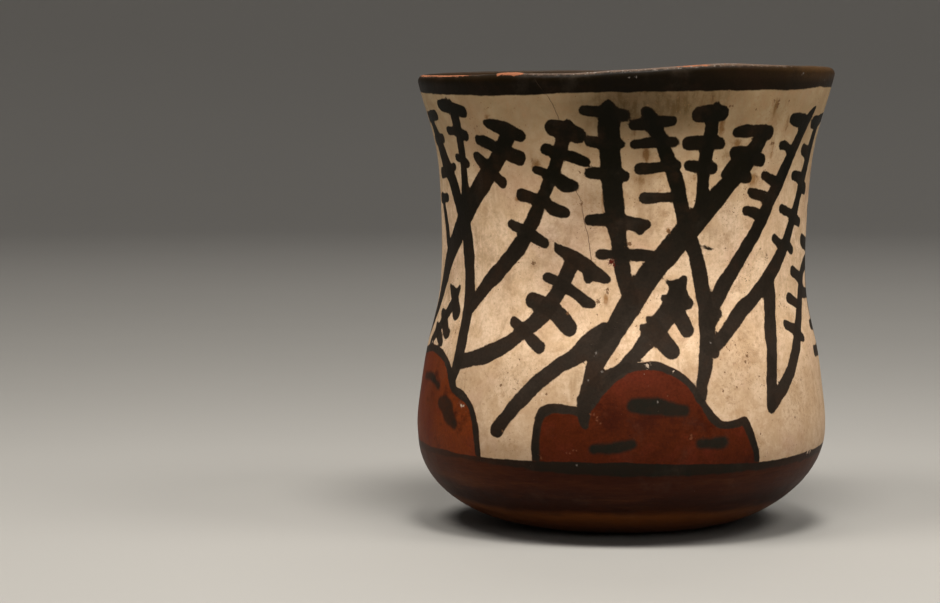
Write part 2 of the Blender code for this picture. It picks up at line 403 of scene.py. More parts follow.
# the painting: every stroke is a list of (degrees from the front, height mm, width mm)
cactusPaint = {
    "leftTrunk": {
        "stems": [
            [(-55.5, 44.5, 3.0), (-54, 52, 5.0), (-54.1, 62, 5.0), (-54.5, 72, 5.6), (-55.9, 83, 5.7),
             (-57.4, 92, 5.4), (-56.8, 102, 3.8), (-56.7, 112, 4.0), (-56.2, 123, 4.0)],
            [(-98, 45, 4.6), (-92, 53, 5.2), (-84, 61, 6.0), (-76, 72, 6.4), (-69.7, 80, 6.8),
             (-58.5, 90.5, 6.8), (-51, 98.2, 6.6), (-45, 103.8, 6.4), (-40.3, 109.2, 5.4),
             (-36, 115, 5.0)],
            [(-59.5, 93, 5.4), (-65, 102, 6.0), (-71, 109, 7.6), (-74.2, 115, 6.8), (-76, 120, 5.4)],
            [(-71, 83, 4.0), (-73, 89.5, 4.0), (-76.5, 96, 3.6)],
            [(-53.5, 65, 3.6), (-46, 72.6, 4.9), (-39.6, 77.8, 5.3), (-34.6, 82.6, 5.1),
             (-30.6, 87.5, 4.6), (-27.2, 93.3, 4.4), (-24.4, 99, 4.2), (-21.9, 104.5, 4.2),
             (-19.2, 110.5, 4.2), (-17, 117, 4.4)],
            [(-53.5, 50.5, 4.4), (-45, 52.2, 4.9), (-38.7, 54.4, 4.8), (-33.7, 57.3, 4.6),
             (-30, 60.2, 4.5), (-26.3, 63, 4.8), (-23.1, 66.4, 5.0), (-20.3, 70.3, 4.6), (-18, 74.2, 4.5),
             (-15.4, 79.5, 4.5)],
        ],
        "ribs": [
            [(-63.4, 124.7, 3.6), (-58, 124.4, 4.0), (-51.6, 122.9, 3.9)],
            [(-58.8, 126.2, 1.3), (-58.8, 127.1, 0.7)],
            [(-57.1, 126.0, 1.1), (-56.9, 126.7, 0.7)],
            [(-62.4, 116.9, 2.9), (-57, 116.6, 2.6), (-53.2, 115.6, 3.5)],
            [(-60.2, 109, 3.1), (-57, 108.2, 2.8), (-54.8, 107.3, 3.3)],
            [(-43.2, 119.5, 2.4), (-40.4, 118.7, 4.1), (-36, 117.5, 4.3), (-31.2, 115.8, 3.9)],
            [(-47.4, 114.5, 2.8), (-44.6, 113.9, 3.8), (-41, 112.4, 3.9)],
            [(-37, 110.8, 3.9), (-32.2, 109.2, 4.3)],
            [(-49.6, 109.6, 2.7), (-47.6, 108.3, 3.7), (-44.5, 106.6, 3.8)],
            [(-43, 104.6, 3.5), (-39.2, 102.2, 3.6)],
            [(-69, 121.6, 3.4), (-80, 120.8, 3.6)],
            [(-68.4, 114.6, 3.0), (-78, 113.8, 3.2)],
            [(-66, 105.6, 2.9), (-62.8, 106.2, 3.1)],
            [(-75.5, 104, 3.3), (-67, 104.6, 3.5)],
            [(-70.8, 96.8, 3.1), (-80, 96.2, 3.1)],
            [(-20.8, 118, 4.9), (-17, 117.6, 5.2), (-13.5, 116, 5.0)],
            [(-16.6, 118.4, 3.1), (-15.9, 120, 1.9)],
            [(-23.2, 111.7, 3.7), (-19, 110.7, 3.7), (-11.6, 108.4, 3.4)],
            [(-26.8, 105.9, 2.9), (-22, 104.4, 3.5), (-17.4, 101.9, 4.4), (-14.8, 101.4, 2.9)],
            [(-31.8, 98.7, 3.6), (-25, 97, 3.5), (-20.5, 94.6, 4.1), (-17.6, 93.9, 3.3)],
            [(-35.8, 90.3, 2.8), (-30, 88, 3.5), (-24.2, 85.4, 3.2)],
            [(-19.3, 83.6, 3.1), (-12.5, 80.2, 4.3), (-8.8, 77.4, 4.4), (-4.9, 75.5, 2.7)],
            [(-20.7, 85.2, 0.9), (-20, 83.9, 1.9)],
            [(-10.4, 77.2, 2.5), (-10.2, 75.4, 2.3)],
            [(-23, 75.8, 3.2), (-17.5, 73.3, 3.3), (-10.9, 69.5, 3.0), (-9.3, 68.7, 2.6)],
            [(-11.7, 69.2, 2.3), (-11.2, 68.3, 1.9)],
            [(-27.8, 69.2, 4.6), (-20.3, 66.3, 4.7), (-15.3, 61.5, 4.6)],
            [(-33.3, 63, 3.3), (-29, 60, 3.5), (-23.9, 56.3, 3.8)],
            [(-55.6, 125.2, 1.5), (-55.4, 126.4, 0.8)],
            [(-58.4, 48.2, 2.4), (-56, 45.6, 3.4), (-54.6, 43.8, 2.8)],
        ],
    },
    "leftSprout": {
        "stems": [
            [(-68.4, 71.2, 1.2), (-64.4, 68.8, 4.4), (-62.4, 65.5, 4.6), (-60.9, 63.9, 4.6)],
            [(-60.9, 71.2, 1.4), (-63, 69, 3.8)],
            [(-64, 66.6, 4.2), (-69, 61.8, 3.8), (-73.5, 57.8, 4.2), (-78, 54, 4.0)],
        ],
        "ribs": [
            [(-73.2, 63.4, 2.5), (-69.5, 61.8, 3.9), (-65, 57.9, 3.9), (-63.6, 57.7, 3.3)],
            [(-76, 59.3, 2.3), (-71, 56.8, 3.7), (-67, 54.8, 2.7)],
        ],
    },
    "middleTrunk": {
        "stems": [
            [(-9.9, 37.4, 3.4), (-9.5, 42, 4.4), (-8.3, 47.5, 4.9), (-7.1, 52, 5.2), (-3.2, 59.4, 6.0),
             (0.6, 66.2, 6.4), (6.0, 73.9, 6.6), (10.7, 79.8, 6.8), (16.9, 86.5, 7.5), (26, 95.4, 6.4),
             (33, 102.2, 5.9), (38, 107, 5.8), (42, 112.6, 5.4), (42.8, 114.4, 5.0)],
            [(2.6, 69, 4.2), (0.7, 74.6, 4.2), (-0.7, 81, 4.5), (-1.7, 87, 4.8), (-2.6, 93.4, 5.5),
             (-3.3, 99.6, 5.8), (-3.8, 106, 6.1), (-4.2, 112, 6.2), (-4.6, 119, 6.2), (-4.8, 123.4, 4.2)],
            [(-35.2, 32.8, 4.4), (-30, 39.4, 4.6), (-25, 45, 4.6), (-20, 49.4, 4.6), (-15.4, 52.6, 4.8),
             (-12, 54.8, 5.6), (-8.5, 58, 6.6), (-5, 61, 5.4)],
            [(-8.6, 43, 4.4), (-5.8, 47.2, 4.6), (-1.8, 50.0, 3.1), (1.6, 51.4, 2.8)],
            [(-10, 42, 4.4), (-10, 38.4, 3.6), (-9.7, 35.2, 2.6)],
            [(-22.6, 36.4, 2.3), (-21.2, 38.5, 2.8), (-19, 39.3, 2.4)],
        ],
        "ribs": [
            [(-11.5, 122.9, 3.2), (-7, 122.4, 3.5)],
            [(-4.9, 124.6, 2.5), (-4.7, 125.2, 1.7)],
            [(-3, 121.8, 3.4), (-0.5, 121, 3.2)],
            [(-9.9, 113.9, 3.0), (-4, 113.3, 3.4), (-1.2, 113, 2.8)],
            [(-10.3, 105.1, 3.2), (-4, 105, 3.5), (-0.2, 104.3, 3.4)],
            [(-10.2, 92, 3.3), (-3, 92, 3.7), (4.4, 90.5, 3.6), (6.8, 90.7, 2.4)],
            [(4.4, 89.9, 3.0), (4.9, 89.1, 2.5)],
            [(-6.7, 82.4, 3.4), (0, 82.4, 3.2), (8.3, 82.1, 3.2)],
            [(33.4, 115.7, 2.8), (37, 116, 3.9), (45.6, 115.5, 3.6)],
            [(30.6, 104.4, 2.4), (34.0, 107.9, 3.0)],
            [(33.6, 109.9, 3.2), (38, 109.8, 3.8), (44.2, 108, 3.7)],
            [(36, 103.6, 3.2), (39.4, 103.2, 3.0)],
        ],
    },
    "hillSprout": {
        "stems": [
            [(-3.4, 48.4, 2.0), (1.4, 52.4, 3.7), (5, 56, 4.3), (9.4, 61, 5.4), (13.2, 65.6, 6.0),
             (16.4, 69.2, 7.0), (16.4, 73, 4.6)],
            [(9.5, 61, 5.0), (11.6, 58.6, 5.4), (14, 55.7, 5.2)],
            [(15.5, 67.6, 5.0), (17.7, 64, 4.5), (18.9, 61.1, 4.3)],
        ],
        "ribs": [
            [(9.5, 61.8, 4.2), (6.8, 61.4, 3.0), (5.7, 62.5, 1.0)],
            [(9.5, 62.8, 3.8), (8.2, 64, 1.8), (7.7, 64.6, 0.9)],
            [(14.6, 69.4, 4.2), (12.6, 70, 2.2), (12, 70.6, 1.0)],
            [(13.8, 67.4, 3.6), (12.2, 67.1, 2.0)],
            [(15.8, 73.2, 3.4), (14.2, 74.2, 1.7), (13.2, 74.8, 0.9)],
            [(17.4, 73.2, 3.6), (18.4, 75.2, 2.2), (18.9, 76, 0.9)],
            [(16.4, 68.8, 5.0), (19.8, 68.5, 3.8)],
        ],
    },
    "rightTrunk": {
        "stems": [
            [(21.9, 42.8, 4.0), (22.5, 46.4, 3.7), (23.5, 50.4, 4.2), (24.2, 54, 4.6), (25.2, 59, 4.6),
             (25.4, 65, 4.7), (24.6, 71.5, 4.7), (23.3, 77.8, 4.6), (21.4, 84, 4.7), (18.6, 91, 4.6),
             (17, 96.6, 4.6), (14.7, 104, 4.7), (12.2, 109.5, 4.4), (10.2, 114, 4.3), (8, 118, 4.4),
             (6.4, 121, 3.6), (5.6, 121.9, 2.4)],
            [(23.4, 94, 4.4), (23.8, 99, 3.8), (23.9, 103, 3.4), (24.3, 109.4, 3.9), (25.1, 115, 4.4),
             (25.2, 119, 4.4)],
            [(25.6, 64, 4.0), (30.5, 71.6, 4.7), (35.5, 77.8, 4.7), (40.5, 83.6, 4.7), (45, 89.5, 4.7),
             (50, 97, 4.7), (55, 104, 4.7), (60, 111.6, 4.7), (64, 117.6, 4.4), (66.4, 120.6, 3.4),
             (68.2, 122.2, 1.6)],
            [(25.5, 56, 4.0), (28.8, 57.6, 3.7), (33.2, 61.5, 4.2), (38, 66.1, 4.7), (43, 69.3, 4.8),
             (49.4, 74.4, 5.2), (53.8, 78.2, 5.2), (57.5, 82, 5.1), (60.6, 86, 4.9), (63.4, 90.6, 4.8),
             (66, 95.4, 4.5), (68.4, 100.4, 4.6), (71.4, 105.6, 5.0), (73.4, 110.6, 5.2),
             (75.4, 116.5, 4.8)],
            [(50.3, 74, 4.7), (50.5, 68.6, 5.7), (49.4, 62, 5.2), (48.2, 55.8, 5.0), (47, 49.6, 4.5),
             (45.8, 43.4, 4.2), (45.2, 38.6, 4.0)],
            [(45.4, 38.6, 3.8), (50, 43, 4.3), (55, 47.4, 4.4), (59, 51.8, 4.4), (62.6, 56.4, 4.5),
             (66.3, 61.2, 4.5), (70, 66, 4.7), (73, 70.8, 5.2), (75, 74.6, 5.0), (79, 77, 4.6),
             (87, 78.2, 4.4)],
        ],
        "ribs": [
            [(2.3, 118.2, 2.8), (7, 118.6, 3.6), (13.2, 119, 3.1)],
            [(2.8, 113, 2.9), (8, 113.3, 3.2), (14, 113.3, 3.2)],
            [(4.3, 106.2, 3.3), (10, 106.5, 3.5), (15, 106.9, 3.6)],
            [(6, 97.9, 3.1), (15.5, 98.6, 3.1)],
            [(20.6, 120.4, 4.6), (24, 120.6, 5.0), (27.5, 120.4, 4.5)],
            [(25.5, 122.4, 2.3), (25.5, 123, 1.7)],
            [(18.2, 112.8, 3.6), (24, 112.9, 3.7), (28.5, 112.6, 3.5)],
            [(18.8, 106.8, 2.8), (23, 106.3, 2.8), (26.8, 106, 3.0)],
            [(55.2, 119.1, 3.5), (62, 118.4, 4.1)],
            [(52.6, 111.9, 2.7), (54.2, 112, 3.0), (58, 110, 3.2)],
            [(46.1, 103.8, 2.8), (52.5, 101.4, 3.5)],
            [(40.9, 99.3, 2.7), (49.5, 97.2, 3.3)],
            [(39.4, 94.3, 2.6), (46, 92.4, 3.3)],
            [(24.6, 84.4, 0.8), (26.4, 83.9, 1.2), (28.3, 83.4, 0.9)],
            [(52.9, 85.9, 2.7), (57, 83.8, 3.3)],
            [(60, 84.5, 3.1), (64, 82.2, 3.1)],
            [(56, 94.3, 3.1), (63.5, 92, 3.7)],
            [(64, 91.4, 4.1), (69.2, 90, 3.5)],
            [(61.8, 103.4, 3.1), (69, 102, 3.7)],
            [(69, 100.6, 3.9), (73, 99.2, 3.1)],
            [(66.5, 110.6, 3.1), (72, 109, 3.7)],
            [(70, 118.2, 3.5), (76, 118.4, 4.3), (84, 119.6, 3.1)],
            [(57.3, 61.2, 3.2), (64, 59, 3.7)],
            [(64, 57.6, 3.5), (67.6, 56.8, 2.5)],
            [(61.6, 68.5, 3.3), (70, 65.6, 3.7)],
            [(65.4, 75.9, 3.4), (73, 73.2, 3.9)],
            [(74.6, 69.4, 3.5), (84, 68.6, 2.9)],
            [(24.8, 57, 4.4), (27.0, 54.9, 3.5)],
            [(26.2, 64.6, 4.0), (29.1, 65.7, 3.0)],
            [(26.6, 62.6, 3.0), (28.4, 64.4, 2.4)],
        ],
    },
    "rightEdge": {
        "stems": [
            [(97, 38, 3.6), (93, 46, 4.2), (89.6, 54, 4.6), (87.2, 63, 4.8), (85.8, 73, 4.8), (86.4, 83, 4.6),
             (88.4, 93, 4.4), (91.5, 102, 4.2)],
        ],
        "ribs": [
            [(73.4, 84.9, 2.9), (79, 83.4, 3.9), (92, 82, 3.5)],
            [(77.4, 52, 3.1), (96, 51.6, 3.3)],
            [(80.4, 59.4, 2.9), (93, 59, 3.1)],
            [(84, 93.6, 3.1), (99, 92, 3.3)],
            [(87, 103, 3.9), (95, 103.6, 4.5), (103, 102.4, 3.9)],
        ],
    },
}

hillPaint = {
    "outlineWidth": 2.25,
    # places where the red is darker: (degrees, height mm, half width mm, half height mm, strength)
    "darker": [(-67, 38, 7, 16, 0.45), (2, 32, 9, 5, 0.90), (24, 28, 9, 5, 0.95)],
    "leftHill": {
        "load": 0.15,  # 0 is a thin, more orange coat and 1 a full dark one
        "edge": [(-104, 20), (-103.6, 34), (-100, 45), (-94, 51), (-84, 52.4), (-76, 53.8), (-68, 53.6),
                 (-62, 52), (-58, 49.4), (-55.4, 45), (-52.8, 43.2), (-50, 42.4), (-46.2, 40.2),
                 (-43.4, 36.8), (-41.6, 31.5), (-41.1, 25), (-41.1, 20)],
        "dashes": [
            [(-77, 44.2, 1.8), (-70, 44.7, 2.6), (-63.6, 42.6, 2.2)],
            [(-60.6, 38.2, 3.2), (-57, 37.4, 5.8), (-54.8, 34.8, 4.6), (-51.8, 32.8, 2.8)],
            [(-97, 36, 2.4), (-92, 35.4, 3.2), (-87, 34.8, 2.4)],
        ],
    },
    "middleHill": {
        "load": 0.85,
        "edge": [(-24.2, 20), (-24.2, 25), (-24.1, 31.5), (-23.4, 36.4), (-21.6, 39.6), (-19.4, 40.6),
                 (-15.6, 40.4), (-12.6, 40.3), (-10.6, 40.2), (-8.6, 41.4), (-6, 45.4),
                 (-2, 49.4), (2, 51.7), (6.1, 52.7), (9.9, 52.7), (13, 51.6), (16.8, 49.6), (20, 46.6),
                 (23.6, 41.2), (26, 37.7), (28.3, 35.8), (31.7, 36), (35.4, 36.8), (36.8, 34.6),
                 (38.9, 30), (40.6, 25), (40.8, 20)],
        "dashes": [
            [(3.4, 40.6, 4.2), (9, 40.4, 4.6), (17.0, 39.3, 3.8)],
            [(-7.0, 28.6, 2.8), (-2, 28.9, 3.4), (3, 29.9, 2.8)],
            [(21.6, 29.8, 3.2), (28.2, 30.0, 4.0)],
        ],
    },
}

# the unseen back repeats the front's plants, moved round, and mirrored where it says so
backPaint = [
    {"plants": ["middleTrunk", "hillSprout"], "hill": "middleHill", "turn": 135, "mirror": True, "sway": 1.4},
    {"plants": ["leftTrunk", "leftSprout"], "hill": "leftHill", "turn": 267, "mirror": False, "sway": -1.6},
]

# edges that run right round: (degrees, height mm), where it says nothing else
ringPaint = {
    "rimBandFoot": [(-180, 128.2), (-85, 128.5), (-57, 127.8), (-45, 127.5), (-30, 127.5), (-24, 127.7),
                    (-15, 128.1), (-9, 127.9), (0, 127.3), (12, 127.0), (20, 126.5), (31, 126.4), (37, 126.9),
                    (52, 126.9), (64, 127.6), (80, 128.0), (180, 128.2)],
    "rimBandInside": [(-180, 128.4), (180, 128.4)],
    "beltTop": [(-180, 24.6), (-80, 25.0), (-35, 24.3), (0, 24.9), (40, 23.4), (62, 24.0), (80, 24.6),
                (180, 24.6)],
    # how full the belt line's paint is: (degrees, 0 to 1)
    "beltLoad": [(-180, 0.7), (-90, 0.5), (-70, 0.45), (-45, 0.6), (-24, 0.9), (0, 1.0), (40, 0.95),
                 (60, 0.75), (90, 0.7), (180, 0.7)],
    "beltFoot": [(-180, 21.0), (-80, 22.8), (-60, 23.2), (-35, 22.8), (-22, 21.6), (0, 20.9), (40, 20.9),
                 (80, 22.5), (120, 21.4), (180, 21.0)],
    # how brown the rim band's paint is: (degrees, 0 black to 1 brown)
    "bandWarmth": [(-180, 0.4), (-90, 0.25), (-60, 0.12), (0, 0.0), (20, 0.06), (45, 0.35), (65, 1.1),
                   (90, 0.85), (130, 0.5), (180, 0.4)],
}

# how worn the lip is round its turn: (degrees, 0 whole to 1 bare)
lipWear = {
    "bare": [(-180, 0.35), (-100, 0.40), (-80, 0.75), (-62, 0.80), (-50, 0.72), (-45, 0.35), (-37.5, 0.35),
             (-36, 1.0), (-29.5, 1.0), (-28, 0.35), (-8, 0.30), (12, 0.38), (14.5, 0.70), (20.5, 0.72),
             (24, 0.46), (31, 0.35), (60, 0.30), (85, 0.32), (120, 0.35), (180, 0.35)],
    # how far from the crest the wear and the painted highlight are strongest and how far they reach, mm
    "bareCentre": 0.3,
    "bareReach": [(-180, 1.1), (-37, 1.0), (-35.5, 1.25), (-30, 1.25), (-28.5, 1.0), (180, 1.1)],
    "rubbedAndHighlightCentre": 0.2,
    "rubbedAndHighlightReach": 1.0,
    # how rubbed the lip's paint is, with a painted highlight along the crest: (degrees, 0 to 1)
    "rubbedAndHighlight": [(-180, 0.35), (-85, 0.60), (-66, 0.62), (-56, 0.22), (-30, 0.35), (-26, 0.62), (-10, 0.74),
               (18, 0.95), (30, 1.0), (42, 0.75), (56, 0.24), (90, 0.22), (180, 0.35)],
    # the bare place that stands a little proud: degrees, half width in degrees, then mm
    "proudTurn": -32.8,
    "proudWidth": 4.0,
    "proudReach": 1.6,
    "proudLift": 0.40,
}

# patches soaked into the slip, some of them painted shade: (degrees, height mm, half width mm, half height
# mm, strength)
wallPatches = {
    # darker soiled places, and painted shade under the lip at the front
    "soilingAndShade": [
        (1, 124, 15, 10, 0.90), (17, 122, 9, 6, 0.85), (-8, 118, 6, 9, 0.30), (14, 125.5, 18, 2.6, 0.50),
        (-2, 126, 10, 2, 0.40), (4.5, 104, 4.5, 6.5, 0.38), (8, 111, 5, 3, 0.35), (-27, 108, 3.5, 3.5, 0.30),
        (-46, 112, 3, 4, 0.35), (27, 125, 4, 3, 0.45), (33, 118, 3.0, 6, 0.30), (47, 121, 3.0, 4.5, 0.30),
        (31, 108, 2.6, 5, 0.35), (-20, 98, 6, 3, 0.20), (-7, 98, 3.5, 6, 0.46), (26, 88, 3, 3, 0.30),
        (6, 92, 7, 7, 0.22), (54, 39, 8, 6, 0.16), (-30, 28, 12, 3.5, 0.08), (-28, 79, 3, 2.5, 0.25),
        (-12, 47, 3, 5, 0.25), (30, 50, 3, 5, 0.16), (38, 60, 2, 6, 0.15), (39, 105, 3.0, 3.0, 0.35),
        (38, 118, 12, 7, 0.18), (120, 100, 9, 12, 0.35), (-130, 70, 12, 8, 0.30), (165, 116, 14, 6, 0.45),
        (-160, 52, 10, 10, 0.25), (95, 40, 8, 7, 0.30), (-110, 115, 9, 6, 0.40),
    ],
    # greyer, colder places, partly painted shade under the lip and on the centre-left
    "greyingAndShade": [
        (1, 124, 15, 10, 0.95), (-13, 94, 9, 13, 0.58), (-22, 85, 6, 8, 0.52), (32, 90, 6, 10, 0.36),
        (-45, 60, 6, 8, 0.16), (150, 90, 10, 14, 0.30),
    ],
    # rusty runs, upright and narrow
    "drips": [
        (4.6, 103.6, 2.2, 2.5, 0.50), (6.2, 110.0, 0.9, 2.4, 0.95), (46.2, 122, 1.2, 3.5, 0.66),
        (34.0, 112.6, 2.4, 1.6, 0.66), (28.2, 117, 1.2, 4, 0.62), (48.2, 111, 1.4, 5, 0.50),
        (20.6, 103.6, 1.6, 1.2, 0.60), (20.8, 99.4, 1.0, 0.8, 0.45), (13.4, 89.0, 0.7, 0.9, 0.95),
        (41.2, 102.8, 2.8, 2.6, 0.68), (30.5, 109.4, 2.4, 2.0, 0.50), (53, 118, 1.2, 4, 0.50),
        (-4.9, 70.2, 0.8, 2.4, 0.66), (-41.6, 121.4, 2.2, 1.2, 0.45), (2.6, 117, 1.0, 4, 0.50),
        (-6.2, 97, 0.9, 5, 0.45), (-33.6, 97.4, 1.4, 1.2, 0.60), (-26.9, 107.6, 2.2, 2.2, 0.56),
        (24, 124.5, 1.2, 2.0, 0.5), (-1.5, 99.4, 1.6, 1.0, 0.45), (-96, 104, 1.0, 7, 0.55),
        (128, 60, 1.2, 6, 0.50), (-148, 96, 1.0, 9, 0.55), (172, 44, 1.4, 4, 0.50),
    ],
    # clusters of small brown freckles
    "freckles": [
        (37, 54, 6, 9, 0.66), (54, 38, 8, 7, 0.60), (30, 45, 5, 7, 0.55), (62, 40, 8, 10, 0.50),
        (36, 30, 6, 5, 0.50), (46, 118, 9, 8, 0.75), (24, 122, 12, 4, 0.55), (-34, 48, 8, 9, 0.45),
        (-32, 29, 7, 4, 0.50), (-42, 112, 8, 8, 0.35), (-12, 94, 6, 9, 0.40), (33, 88, 5, 9, 0.35),
        (10, 101, 7, 7, 0.45), (130, 90, 14, 16, 0.50), (-140, 60, 16, 12, 0.45),
    ],
}

# the thin crack: (degrees, height mm)
crackPaint = [
    [(-24.6, 132.2), (-23.75, 130.6), (-20.9, 127.1), (-19.4, 123.4), (-18.25, 119.0)],
    [(-15.4, 103.5), (-14.4, 100.25), (-12.5, 96.5), (-11.9, 91.5), (-10.6, 87.4), (-9.7, 82.75),
     (-9.4, 79.0)],
]


farAway = 60.0  # mm, what a painted field holds where no paint is near

# how the brush was used, and where it reached
brushWork = {
    "thinness": {"stems": (0.0, 0.30), "ribs": (0.15, 0.95)},  # least and most, as drawn by chance
    "chance": 7,
    "swayHeight": 11,  # mm, how quickly the sway of the back's plants changes up the wall
    "strokeSteps": 6,  # pieces between two points of a stroke
    "edgeSteps": 4,
    "lowest": 15,  # mm, no stroke reaches below this
    "leastRadius": 40,  # mm, which leaves out the foot
    "unpaintedWash": 0.3,
    "unpaintedLoad": 0.5,
}


def smoothLine(points, steps):
    # a smooth line through the points, with so many steps from one to the next
    points = np.array(points, float)
    if len(points) < 3:
        return points
    padded = np.vstack([2 * points[0] - points[1], points, 2 * points[-1] - points[-2]])
    share = (np.arange(steps) / steps)[:, None]
    pieces = []
    for before, first, second, after in zip(padded[:-3], padded[1:-2], padded[2:-1], padded[3:]):
        pieces.append(0.5 * (2 * first + (second - before) * share
                             + (2 * before - 5 * first + 4 * second - after) * share ** 2
                             + (3 * first - before - 3 * second + after) * share ** 3))
    return np.vstack(pieces + [points[-1:]])


def relativeTurn(turn, centre):
    return (turn - centre + 180) % 360 - 180


def roundTheWall(turn, table):
    degrees, values = zip(*table)
    return np.interp(turn, degrees, values)


def pieceDistance(wall, turn, start, end):
    # millimetres from a straight piece of a line, and the share of it where the nearest place is
    sideways = (turn - start[0]) * wall["perDegree"]
    upwards = wall["rise"] - start[1]
    width = (end[0] - start[0]) * wall["perDegree"]
    height = end[1] - start[1]
    share = np.clip((sideways * width + upwards * height) / (width ** 2 + height ** 2 + 1e-9), 0, 1)
    return np.hypot(sideways - width * share, upwards - height * share), share


def strokeDistance(wall, stroke):
    # millimetres from the edge of a brush stroke, below 0 inside it
    line = smoothLine(stroke, brushWork["strokeSteps"])
    centre = line[:, 0].mean()
    line[:, 0] -= centre
    turn = relativeTurn(wall["turn"], centre)
    nearest = np.full(len(turn), farAway)
    for start, end in zip(line[:-1], line[1:]):
        away, share = pieceDistance(wall, turn, start, end)
        brush = (start[2] + (end[2] - start[2]) * share) / 2
        np.minimum(nearest, away - brush, out=nearest)
    return nearest


def areaDistance(wall, edge):
    # millimetres from the edge of a painted area, below 0 inside it
    line = smoothLine(edge, brushWork["edgeSteps"])
    centre = line[:, 0].mean()
    line[:, 0] -= centre
    turn = relativeTurn(wall["turn"], centre)
    rise = wall["rise"]
    nearest = np.full(len(turn), farAway)
    inside = np.zeros(len(turn), bool)
    for start, end in zip(line, np.roll(line, -1, axis=0)):
        np.minimum(nearest, pieceDistance(wall, turn, start, end)[0], out=nearest)
        height = end[1] - start[1]
        if height != 0:
            crosses = (start[1] > rise) != (end[1] > rise)
            inside ^= crosses & (turn < (end[0] - start[0]) * (rise - start[1]) / height + start[0])
    return np.where(inside, -nearest, nearest)


def movedRound(stroke, move):
    moved = []
    for point in stroke:
        turn = -point[0] if move["mirror"] else point[0]
        turn += move["turn"] + move["sway"] * math.sin(point[1] / brushWork["swayHeight"])
        moved.append((turn, *point[1:]))
    return moved


def allStrokes():
    # every ink stroke with how thin its paint is, then the hills with their dashes
    dice = np.random.default_rng(brushWork["chance"])
    inks = []
    hills = []

    def paintPlant(plant, place):
        for part, (least, most) in brushWork["thinness"].items():
            for stroke in plant[part]:
                inks.append((place(stroke), dice.uniform(least, most)))

    def paintHill(hill, place):
        hills.append((place(hill["edge"]), [place(dash) for dash in hill["dashes"]], hill["load"]))

    for plant in cactusPaint.values():
        paintPlant(plant, list)
    for name in ("leftHill", "middleHill"):
        paintHill(hillPaint[name], list)
    for move in backPaint:
        for name in move["plants"]:
            paintPlant(cactusPaint[name], lambda stroke: movedRound(stroke, move))
        level = dict(move, sway=0.0)
        paintHill(hillPaint[move["hill"]], lambda stroke: movedRound(stroke, level))
    return inks, hills


def patchField(wall, patches):
    # soft round patches gathered into one strength per vertex
    clear = np.ones(len(wall["turn"]))
    for centre, height, halfWidth, halfHeight, strength in patches:
        sideways = relativeTurn(wall["turn"], centre) * wall["perDegree"] / halfWidth
        upwards = (wall["rise"] - height) / halfHeight
        clear *= 1 - strength * np.exp(-(sideways ** 2 + upwards ** 2))
    return 1 - clear


def brushFields(wall, beltTop):
    # the plants, hills and dashes: distances to the nearest painted edge, and how full the paint is
    unpainted = {"ink": farAway, "inkUnder": farAway, "hill": farAway, "dash": farAway,
                 "wash": brushWork["unpaintedWash"], "redLoad": brushWork["unpaintedLoad"]}
    fields = {name: np.full(len(wall["turn"]), value) for name, value in unpainted.items()}
    inks, hills = allStrokes()

    def addInk(away):
        fields["inkUnder"] = np.minimum(fields["inkUnder"], np.maximum(away, fields["ink"]))
        fields["ink"] = np.minimum(fields["ink"], away)

    for stroke, thinness in inks:
        away = strokeDistance(wall, stroke)
        fields["wash"] = np.where(away < fields["ink"], thinness, fields["wash"])
        addInk(away)
    half = hillPaint["outlineWidth"] / 2
    for edge, dashes, load in hills:
        away = areaDistance(wall, edge)
        fields["redLoad"] = np.where(away < fields["hill"], load, fields["redLoad"])
        fields["hill"] = np.minimum(fields["hill"], away)
        addInk(np.maximum(np.abs(away + half) - half, beltTop - wall["rise"]))
        for stroke in dashes:
            fields["dash"] = np.minimum(fields["dash"], strokeDistance(wall, stroke))
    fields["redLoad"] = np.maximum(fields["redLoad"], patchField(wall, hillPaint["darker"]))
    return fields, unpainted


def crackFields(wall, outer):
    # signed sideways distance from the crack, and how far a vertex is past its ends
    side = np.full(len(outer), farAway)
    past = np.full(len(outer), farAway)
    for line in crackPaint:
        degrees, heights = zip(*sorted(line, key=lambda point: point[1]))
        sideways = (wall["turn"] - np.interp(wall["rise"], heights, degrees)) * wall["perDegree"]
        beyond = np.maximum(heights[0] - wall["rise"], wall["rise"] - heights[-1])
        better = outer & (beyond < past) & (wall["radius"] > brushWork["leastRadius"])
        side = np.where(better, sideways, side)
        past = np.where(better, beyond, past)
    return {"crackSide": np.clip(side, -farAway, farAway), "crackPast": past}


